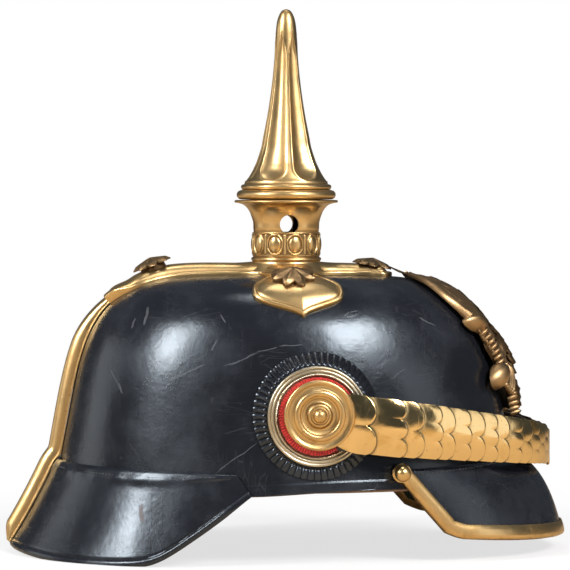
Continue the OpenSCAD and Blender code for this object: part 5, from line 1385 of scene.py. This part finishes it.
def add_keeper():
    """Leather loop round the strap beside the buckle."""
    keeper = Solid()
    s = STRAP_LENGTH - 9.2
    rise = float(mix(PIVOT_Z - 1.2, FRONT_Z, s / STRAP_LENGTH)) - FRONT_Z
    top = float(strap_half(s)) + 0.4
    inner = [(0.98, top), (0.98, -top), (-3.4, -top), (-3.4, top)]
    outer = [(1.5, top + 0.6), (1.5, -top - 0.6), (-4.2, -top - 0.6), (-4.2, top + 0.6)]
    rows = []
    for y in np.linspace(7.4, 9.6, 5):
        bulge = 0.12 * math.sin(PI * (y - 7.4) / 2.2)
        rows.append([front_point(y, o + (bulge if o > 0 else -bulge), u + rise) for o, u in outer])
    inside = [[front_point(y, o, u + rise) for o, u in inner] for y in np.linspace(9.6, 7.4, 5)]
    keeper.loft(rows + inside, looped=True)
    keeper.make("leather_keeper", "strap_leather", "left_chinscale", ["strap_keeper"], 30)


def build_buckle(context):
    add_frame()
    add_tongue()
    add_keeper()


# ---------------------------------------------------------------- inside
# Height of a finger's run, and how far inside the skull it lies lengthwise and crosswise
FINGER_PATH = [[61, 4.8, 4.8], [66, 9.4, 8.6], [74, 11.4, 9.8], [84, 16, 13.8], [94, 24, 20.6], [103, 36, 31],
               [109, 50, 43], [112, 62, 53.3]]


def add_sweatband(pitch):
    """Leather band round the inside, with a seam along its foot and one along its top."""
    a = turns(200)
    z = np.linspace(BRIM - 1, 66, 30)[None, :]

    def ring(grow, zz):
        return xyz(dome_reach(zz, grow) * np.cos(a), dome_side(zz, grow) * np.sin(a), zz + 0 * a)
    wave = 0.25 * np.sin(a * 9) * np.sin(PI * (z - BRIM) / 30)
    swell = 1 + wave / 300
    inner = xyz(dome_reach(z, -4.1) * np.cos(a) * swell, dome_side(z, -4.1) * np.sin(a) * swell, z + 0 * a)
    band = Solid()
    band.shell(inner, ring(-2.7, z[:, ::-1]), looped=True)
    band.make("sweatband_leather", "brown_leather", "shell", ["sweatband"])
    seam = Solid()
    run = np.linspace(0, 2 * PI, 600)
    for zz in (BRIM + 2.5, 63.5):
        path = xyz(dome_reach(zz, -4.1) * np.cos(run), dome_side(zz, -4.1) * np.sin(run), zz + 0 * run)
        stitches(seam, path, unit(path * np.array([-1, -1, 0])), pitch * 1.5, pitch, 0.28)
    seam.make("sweatband_stitches", "thread", "shell", [], slot="brown_leather")


def add_fingers():
    """Leather fingers that bend from the band towards the crown."""
    fingers = Solid()
    key = np.linspace(0, 7, 44)
    path = spline([[i, *p] for i, p in enumerate(FINGER_PATH)], key)
    count = 8
    for k in range(count):
        gap = np.where(path[:, 0] < 80, 0.0, np.clip((path[:, 0] - 80) / 3, 0, 1))
        reach = dome_reach(path[:, 0]) - path[:, 1]
        half = PI / count - gap * 2.3 / np.maximum(reach * 0.86, 8) * smooth((path[:, 0] - 80) / 6)
        s = np.linspace(-1, 1, 17)[None, :]
        angle = 2 * PI * k / count + half[:, None] * s
        lift = 0.8 * (1 - s * s) * smooth((path[:, 0] - 84) / 15)[:, None]

        def layer(inset, flip):
            r = dome_reach(path[:, 0])[:, None] - path[:, 1][:, None] - inset
            w = dome_side(path[:, 0])[:, None] - path[:, 2][:, None] - inset
            p = xyz(r * np.cos(angle), w * np.sin(angle), path[:, 0][:, None] - inset * 0.5 + lift)
            return p[:, ::-1] if flip else p
        fingers.shell(layer(1.2, False), layer(0.0, True))
    fingers.make("liner_fingers", "brown_leather", "shell", ["crown_liner"])


def add_cord():
    """Twisted cord that draws the fingers together."""
    cord = Solid()
    p = FINGER_PATH[6]
    t = np.linspace(0, 2 * PI, 240, endpoint=False)
    r, w = dome_reach(p[0]) - p[1] - 1, dome_side(p[0]) - p[2] - 1
    centre = xyz(r * np.cos(t), w * np.sin(t), p[0] + 1.9 + 0.2 * np.sin(t * 8))
    angle = turns(18).T
    twist = 1.0 * (1 + 0.14 * np.cos(3 * angle + t[:, None] * 60))
    outward = unit(xyz(np.cos(t), np.sin(t), 0 * t))[:, None]
    rows = centre[:, None] + twist[..., None] * (outward * np.cos(angle)[..., None]
                                                 + np.array([0, 0, 1.0]) * np.sin(angle)[..., None])
    cord.loft(rows, looped=True)
    cord.make("liner_draw_cord", "cord", "shell", ["liner_cord"])


def build_inside(context):
    add_sweatband(mm(context.scene.helmet_sizes.stitch_pitch))
    add_fingers()
    add_cord()


def build_fastenings(context):
    """Hidden nuts and rivets keep their CAD form and get a finish."""
    for node in ("star_nuts", "plate_nuts", "right_pivot_nut", "left_pivot_nut", "spine_rivets"):
        for piece in bpy.data.objects:
            if piece.type == "MESH" and (piece.name == node or piece.name.startswith(node + ".")):
                piece.data.materials.clear()
                piece.data.materials.append(finishes(context)["plain_brass"])


# ---------------------------------------------------------------- stage
# Name, place, width and height, and power of each lamp
LAMPS = [("left", (-1.13, -0.62, 0.86), (0.36, 0.62), 20.0), ("front", (0.66, -0.98, 0.94), (0.55, 0.46), 21.0),
         ("top", (0.0, 0.1, 1.5), (0.4, 0.4), 3.0), ("back", (-1.4, 0.4, 0.35), (0.6, 0.6), 1.5),
         ("side", (1.24, -0.7, 0.3), (0.5, 0.6), 1.15)]
LAMP_TARGET, CAMERA_TARGET = Vector((0, 0, 0.1)), Vector((-0.0006, 0, 0.1339))


def add_floor(context):
    """Paper floor, white where the camera sees it and brown in reflections."""
    bpy.ops.mesh.primitive_plane_add(size=12, location=(0, 0, -0.0003))
    floor = context.object
    floor.name = "studio_floor"
    p = Paint("floor_paper")
    light_path = add_node(p.tree, "ShaderNodeLightPath")
    tone = p.blend((0.8, 0.8, 0.8), (0.6, 0.46, 0.3), light_path.outputs["Is Glossy Ray"])
    p.set(Base_Color=tone, Roughness=0.9, Specular_IOR_Level=0.1)
    glow = add_node(p.tree, "ShaderNodeEmission", {"Color": (1, 1, 1, 1), "Strength": 1.0})
    away = add_node(p.tree, "ShaderNodeVectorMath", {0: p.coord}, operation="LENGTH").outputs["Value"]
    white = p.math("MULTIPLY", light_path.outputs["Is Camera Ray"], p.ramp(away, 0.12, 0.42, 0.72, 1.0))
    mixer = add_node(p.tree, "ShaderNodeMixShader", {0: white})
    p.tree.links.new(p.shader.outputs[0], mixer.inputs[1])
    p.tree.links.new(glow.outputs[0], mixer.inputs[2])
    p.tree.links.new(mixer.outputs[0], p.tree.nodes["Material Output"].inputs[0])
    floor.data.materials.append(p.material)


def add_world(scene, sizes):
    """White to the camera, a soft light from all round, and a dim room in reflections."""
    world = bpy.data.worlds.new("studio")
    scene.world = world
    world.use_nodes = True
    tree = world.node_tree
    tree.nodes.clear()
    path = add_node(tree, "ShaderNodeLightPath")
    seen = add_node(tree, "ShaderNodeBackground", {"Color": (1, 1, 1, 1), "Strength": 1.0})
    fill = add_node(tree, "ShaderNodeBackground", {"Color": (0.8, 0.87, 1, 1), "Strength": sizes.fill_light})
    up = add_node(tree, "ShaderNodeVectorMath", {0: add_node(tree, "ShaderNodeTexCoord").outputs["Generated"],
                                                 1: (0.0, 0.0, 1.0)}, operation="DOT_PRODUCT").outputs["Value"]
    dim = sizes.mirror_light
    ceiling = add_node(tree, "ShaderNodeMapRange", {
        "Value": up, "From Min": 0.35, "From Max": 0.95, "To Min": dim, "To Max": dim * 2.0})
    mirror = add_node(tree, "ShaderNodeBackground", {
        "Color": (0.72, 0.85, 1, 1), "Strength": ceiling.outputs["Result"]})
    first = add_node(tree, "ShaderNodeMixShader", {
        0: path.outputs["Is Glossy Ray"], 1: fill.outputs[0], 2: mirror.outputs[0]})
    last = add_node(tree, "ShaderNodeMixShader", {
        0: path.outputs["Is Camera Ray"], 1: first.outputs[0], 2: seen.outputs[0]})
    out = add_node(tree, "ShaderNodeOutputWorld")
    tree.links.new(last.outputs[0], out.inputs["Surface"])


def add_lamps(scene, share):
    """The studio's lamps, all at a share of their power."""
    for name, place, (wide, tall), power in LAMPS:
        lamp = bpy.data.lights.new(name, "AREA")
        lamp.shape, lamp.size, lamp.size_y = "RECTANGLE", wide, tall
        lamp.energy = power * share
        lamp.color = (1.0, 0.985, 0.96)
        holder = bpy.data.objects.new(name, lamp)
        scene.collection.objects.link(holder)
        holder.location = place
        holder.rotation_euler = (LAMP_TARGET - Vector(place)).to_track_quat("-Z", "Y").to_euler()


def add_camera(scene, sizes):
    """Camera that looks from the photo's side."""
    camera = bpy.data.cameras.new("camera")
    camera.lens, camera.sensor_width = sizes.lens, 36.0
    camera.clip_end = 50
    holder = bpy.data.objects.new("camera", camera)
    scene.collection.objects.link(holder)
    az, el, away = sizes.camera_azimuth, sizes.camera_elevation, sizes.camera_distance
    way = Vector((math.sin(az) * math.cos(el), -math.cos(az) * math.cos(el), math.sin(el)))
    holder.location = CAMERA_TARGET + away * way
    holder.rotation_euler = (CAMERA_TARGET - holder.location).to_track_quat("-Z", "Y").to_euler()
    scene.camera = holder


def build_stage(context):
    scene, sizes = context.scene, context.scene.helmet_sizes
    add_floor(context)
    add_world(scene, sizes)
    add_lamps(scene, sizes.lamp_share)
    add_camera(scene, sizes)
    scene.view_settings.view_transform = "Standard"


# ---------------------------------------------------------------- properties
def length(name, text, default, low=0.0, high=0.05):
    """A size in metres."""
    return FloatProperty(name=name, description=text, default=default, min=low, max=high, unit="LENGTH",
                         subtype="DISTANCE", precision=5)


def colour(name, text, default):
    """A colour of the finish."""
    return FloatVectorProperty(name=name, description=text, default=default, subtype="COLOR", min=0, max=1)


class HelmetSizes(bpy.types.PropertyGroup):
    """Sizes of the helmet's details and of the studio."""

    leather_waves: length("Leather waves", "Height of the unevenness of the leather", 0.0003)
    hem_rise: length("Hem", "How far the hem round the brim stands out", 0.00035)
    rolled_edge: length("Rolled edge", "Width of the rolled edge of the neck guard", 0.0023)
    stitch_pitch: length("Stitches", "Distance from one stitch to the next", 0.0021, 0.001)
    trim_width: length("Trim", "Width of the brass trim on the visor", 0.006)
    base_bead: length("Bead", "Width of the bead round the cross base", 0.0022, 0.0005)
    star_lift: length("Star lift", "Height of a star over its seat", -0.0004, -0.002)
    star_peak: length("Star peak", "Height of a star's middle", 0.0036)
    star_radius: length("Stars", "Reach of a star's petals", 0.0101)
    jewel_relief: length("Bead relief", "Height of the relief of the beaded band", 0.0006)
    flute_depth: length("Flutes", "Depth of the spike's flutes", 0.0028)
    pleat_height: length("Pleats", "Height of the pleats round the cockades", 0.0011)
    scale_thickness: length("Scales", "Thickness of a brass scale", 0.0006, 0.0001)
    jewel_count: IntProperty(name="Beads", description="Beads in the band round the neck", default=10, min=4, max=16)
    flute_count: IntProperty(name="Flutes", description="Flutes round the spike", default=6, min=3, max=12)
    pleat_count: IntProperty(name="Pleats", description="Pleats round a cockade", default=56, min=20, max=90)
    lens: FloatProperty(name="Lens", description="Focal length", default=210.5, subtype="DISTANCE_CAMERA")
    camera_distance: FloatProperty(name="Camera distance", description="From the camera to the helmet",
                                   default=1.7, unit="LENGTH")
    camera_azimuth: FloatProperty(name="Azimuth", description="Turn of the camera from the right side",
                                  default=math.radians(-5.6), subtype="ANGLE")
    camera_elevation: FloatProperty(name="Elevation", description="Height of the camera as an angle",
                                    default=math.radians(1.8), subtype="ANGLE")
    fill_light: FloatProperty(name="Fill", description="Strength of the light from all round", default=0.3)
    mirror_light: FloatProperty(name="Mirror", description="Brightness of the room in reflections", default=0.08)
    lamp_share: FloatProperty(name="Lamps", description="Strength of all lamps together", default=1.0)


class HelmetColours(bpy.types.PropertyGroup):
    """Colours of the helmet's finishes."""

    lacquer: colour("Lacquer", "Black lacquer", (0.0075, 0.008, 0.0105))
    lacquer_worn: colour("Worn lacquer", "Lacquer where it is rubbed", (0.022, 0.024, 0.03))
    scratch: colour("Scratches", "Colour of strokes in the lacquer", (0.2, 0.2, 0.21))
    leather_edge: colour("Cut edge", "Bare leather at cut edges", (0.075, 0.028, 0.02))
    brass: colour("Gilt brass", "Bright gilt brass", (0.699, 0.482, 0.225))
    brass_dull: colour("Dull brass", "Brass where the gilding is thin", (0.5, 0.32, 0.13))
    brass_stain: colour("Brass stain", "Dirt in the hollows of the brass", (0.13, 0.075, 0.03))
    scale: colour("Scale brass", "Polished chin scales", (0.8, 0.57, 0.27))
    scale_dull: colour("Scale tarnish", "Tarnish on the chin scales", (0.6, 0.36, 0.1))
    # Verdigris in the scales' joints, and also painted shadow past each scale's lapping edge.
    verdigris_and_shadow: colour("Verdigris", "Green and brown in the scales' joints", (0.09, 0.085, 0.06))
    bronze: colour("Bronze", "Front plate and stars", (0.39, 0.25, 0.125))
    bronze_dark: colour("Dark bronze", "Front plate where it is toned", (0.21, 0.13, 0.068))
    # Dirt in the front plate's hollows, and also the painted shade on its middle.
    bronze_stain_and_shade: colour("Bronze stain", "Dirt in the front plate's hollows", (0.03, 0.018, 0.01))
    silver: colour("Cockade metal", "Silvered ring", (0.62, 0.57, 0.46))
    silver_dull: colour("Cockade tarnish", "Yellowed silvering", (0.4, 0.33, 0.2))
    green: colour("Green lining", "Leather under the visor", (0.045, 0.075, 0.04))
    oxblood: colour("Red lining", "Leather under the neck guard", (0.16, 0.02, 0.014))
    tan: colour("Brown leather", "Sweatband and liner", (0.3, 0.16, 0.075))
    strap: colour("Strap leather", "Leather under the scales", (0.03, 0.018, 0.013))
    red: colour("Red felt", "Cloth in the cockade", (0.68, 0.03, 0.016))
    linen: colour("Linen", "Cord in the crown", (0.6, 0.52, 0.36))
    thread: colour("Thread", "Waxed thread of the seams", (0.03, 0.028, 0.03))


# ---------------------------------------------------------------- operators
class HELMET_OT_skull(bpy.types.Operator):
    """Builds the lacquered leather skull."""

    bl_idname = "helmet.skull"
    bl_label = "Skull"
    bl_options = {"REGISTER", "UNDO"}

    def execute(self, context):
        build_skull(context)
        return {"FINISHED"}


class HELMET_OT_visor(bpy.types.Operator):
    """Builds the visor, its stitches and its lining."""

    bl_idname = "helmet.visor"
    bl_label = "Visor"
    bl_options = {"REGISTER", "UNDO"}

    def execute(self, context):
        build_visor(context)
        return {"FINISHED"}


class HELMET_OT_guard(bpy.types.Operator):
    """Builds the neck guard, its stitches and its lining."""

    bl_idname = "helmet.guard"
    bl_label = "Neck guard"
    bl_options = {"REGISTER", "UNDO"}

    def execute(self, context):
        build_guard(context)
        return {"FINISHED"}


class HELMET_OT_trim(bpy.types.Operator):
    """Builds the visor's brass trim and its ball screws."""

    bl_idname = "helmet.trim"
    bl_label = "Visor trim"
    bl_options = {"REGISTER", "UNDO"}

    def execute(self, context):
        build_trim(context)
        return {"FINISHED"}


class HELMET_OT_spine(bpy.types.Operator):
    """Builds the strip down the back."""

    bl_idname = "helmet.spine"
    bl_label = "Spine"
    bl_options = {"REGISTER", "UNDO"}

    def execute(self, context):
        build_spine(context)
        return {"FINISHED"}


class HELMET_OT_base(bpy.types.Operator):
    """Builds the cross-shaped base."""

    bl_idname = "helmet.base"
    bl_label = "Cross base"
    bl_options = {"REGISTER", "UNDO"}

    def execute(self, context):
        build_base(context)
        return {"FINISHED"}


class HELMET_OT_stars(bpy.types.Operator):
    """Builds the four stars."""

    bl_idname = "helmet.stars"
    bl_label = "Stars"
    bl_options = {"REGISTER", "UNDO"}

    def execute(self, context):
        build_stars(context)
        return {"FINISHED"}


class HELMET_OT_neck(bpy.types.Operator):
    """Builds the neck with its vents."""

    bl_idname = "helmet.neck"
    bl_label = "Neck"
    bl_options = {"REGISTER", "UNDO"}

    def execute(self, context):
        build_neck(context)
        return {"FINISHED"}


class HELMET_OT_jewels(bpy.types.Operator):
    """Builds the band of beads."""

    bl_idname = "helmet.jewels"
    bl_label = "Beaded band"
    bl_options = {"REGISTER", "UNDO"}

    def execute(self, context):
        build_jewels(context)
        return {"FINISHED"}


class HELMET_OT_spike(bpy.types.Operator):
    """Builds the fluted spike and its washer."""

    bl_idname = "helmet.spike"
    bl_label = "Spike"
    bl_options = {"REGISTER", "UNDO"}

    def execute(self, context):
        build_spike(context)
        return {"FINISHED"}


class HELMET_OT_plate(bpy.types.Operator):
    """Builds the plate on the brow."""

    bl_idname = "helmet.plate"
    bl_label = "Front plate"
    bl_options = {"REGISTER", "UNDO"}

    def execute(self, context):
        build_plate(context)
        return {"FINISHED"}


class HELMET_OT_cockades(bpy.types.Operator):
    """Builds the pleated rings, cockades and red discs."""

    bl_idname = "helmet.cockades"
    bl_label = "Cockades"
    bl_options = {"REGISTER", "UNDO"}

    def execute(self, context):
        build_cockades(context)
        return {"FINISHED"}


class HELMET_OT_rosettes(bpy.types.Operator):
    """Builds the turned rosettes."""

    bl_idname = "helmet.rosettes"
    bl_label = "Rosettes"
    bl_options = {"REGISTER", "UNDO"}

    def execute(self, context):
        build_rosettes(context)
        return {"FINISHED"}


class HELMET_OT_straps(bpy.types.Operator):
    """Builds the leather of the chin straps."""

    bl_idname = "helmet.straps"
    bl_label = "Straps"
    bl_options = {"REGISTER", "UNDO"}

    def execute(self, context):
        build_straps(context)
        return {"FINISHED"}


class HELMET_OT_scales(bpy.types.Operator):
    """Builds the brass scales."""

    bl_idname = "helmet.scales"
    bl_label = "Chin scales"
    bl_options = {"REGISTER", "UNDO"}

    def execute(self, context):
        build_scales(context)
        return {"FINISHED"}


class HELMET_OT_buckle(bpy.types.Operator):
    """Builds the buckle, its tongue and the keeper."""

    bl_idname = "helmet.buckle"
    bl_label = "Buckle"
    bl_options = {"REGISTER", "UNDO"}

    def execute(self, context):
        build_buckle(context)
        return {"FINISHED"}


class HELMET_OT_inside(bpy.types.Operator):
    """Builds the sweatband, the liner and its cord."""

    bl_idname = "helmet.inside"
    bl_label = "Inside"
    bl_options = {"REGISTER", "UNDO"}

    def execute(self, context):
        build_inside(context)
        return {"FINISHED"}


class HELMET_OT_fastenings(bpy.types.Operator):
    """Finishes the nuts and rivets."""

    bl_idname = "helmet.fastenings"
    bl_label = "Fastenings"
    bl_options = {"REGISTER", "UNDO"}

    def execute(self, context):
        build_fastenings(context)
        return {"FINISHED"}


class HELMET_OT_stage(bpy.types.Operator):
    """Builds the floor, the lights and the camera."""

    bl_idname = "helmet.stage"
    bl_label = "Stage"
    bl_options = {"REGISTER", "UNDO"}

    def execute(self, context):
        build_stage(context)
        return {"FINISHED"}


OPERATORS = [
    HELMET_OT_skull, HELMET_OT_visor, HELMET_OT_guard, HELMET_OT_trim,
    HELMET_OT_spine, HELMET_OT_base, HELMET_OT_stars, HELMET_OT_neck,
    HELMET_OT_jewels, HELMET_OT_spike, HELMET_OT_plate, HELMET_OT_cockades,
    HELMET_OT_rosettes, HELMET_OT_straps, HELMET_OT_scales, HELMET_OT_buckle,
    HELMET_OT_inside, HELMET_OT_fastenings, HELMET_OT_stage]


class HELMET_PT_panel(bpy.types.Panel):
    """Lists the helmet's pieces, sizes and colours."""

    bl_idname = "HELMET_PT_panel"
    bl_label = "Helmet"
    bl_space_type = "VIEW_3D"
    bl_region_type = "UI"
    bl_category = "Helmet"

    def draw(self, context):
        for kind in OPERATORS:
            self.layout.operator(kind.bl_idname)
        for group in (context.scene.helmet_sizes, context.scene.helmet_colours):
            box = self.layout.box()
            for key in group.bl_rna.properties.keys():
                if key not in ("rna_type", "name"):
                    box.prop(group, key)


CLASSES = [HelmetSizes, HelmetColours, *OPERATORS, HELMET_PT_panel]


def register():
    for kind in CLASSES:
        bpy.utils.register_class(kind)
    bpy.types.Scene.helmet_sizes = PointerProperty(type=HelmetSizes)
    bpy.types.Scene.helmet_colours = PointerProperty(type=HelmetColours)


def unregister():
    del bpy.types.Scene.helmet_sizes
    del bpy.types.Scene.helmet_colours
    for kind in reversed(CLASSES):
        bpy.utils.unregister_class(kind)


def main():
    register()
    for kind in OPERATORS:
        group, name = kind.bl_idname.split(".")
        getattr(getattr(bpy.ops, group), name)()


if __name__ == "__main__":
    main()
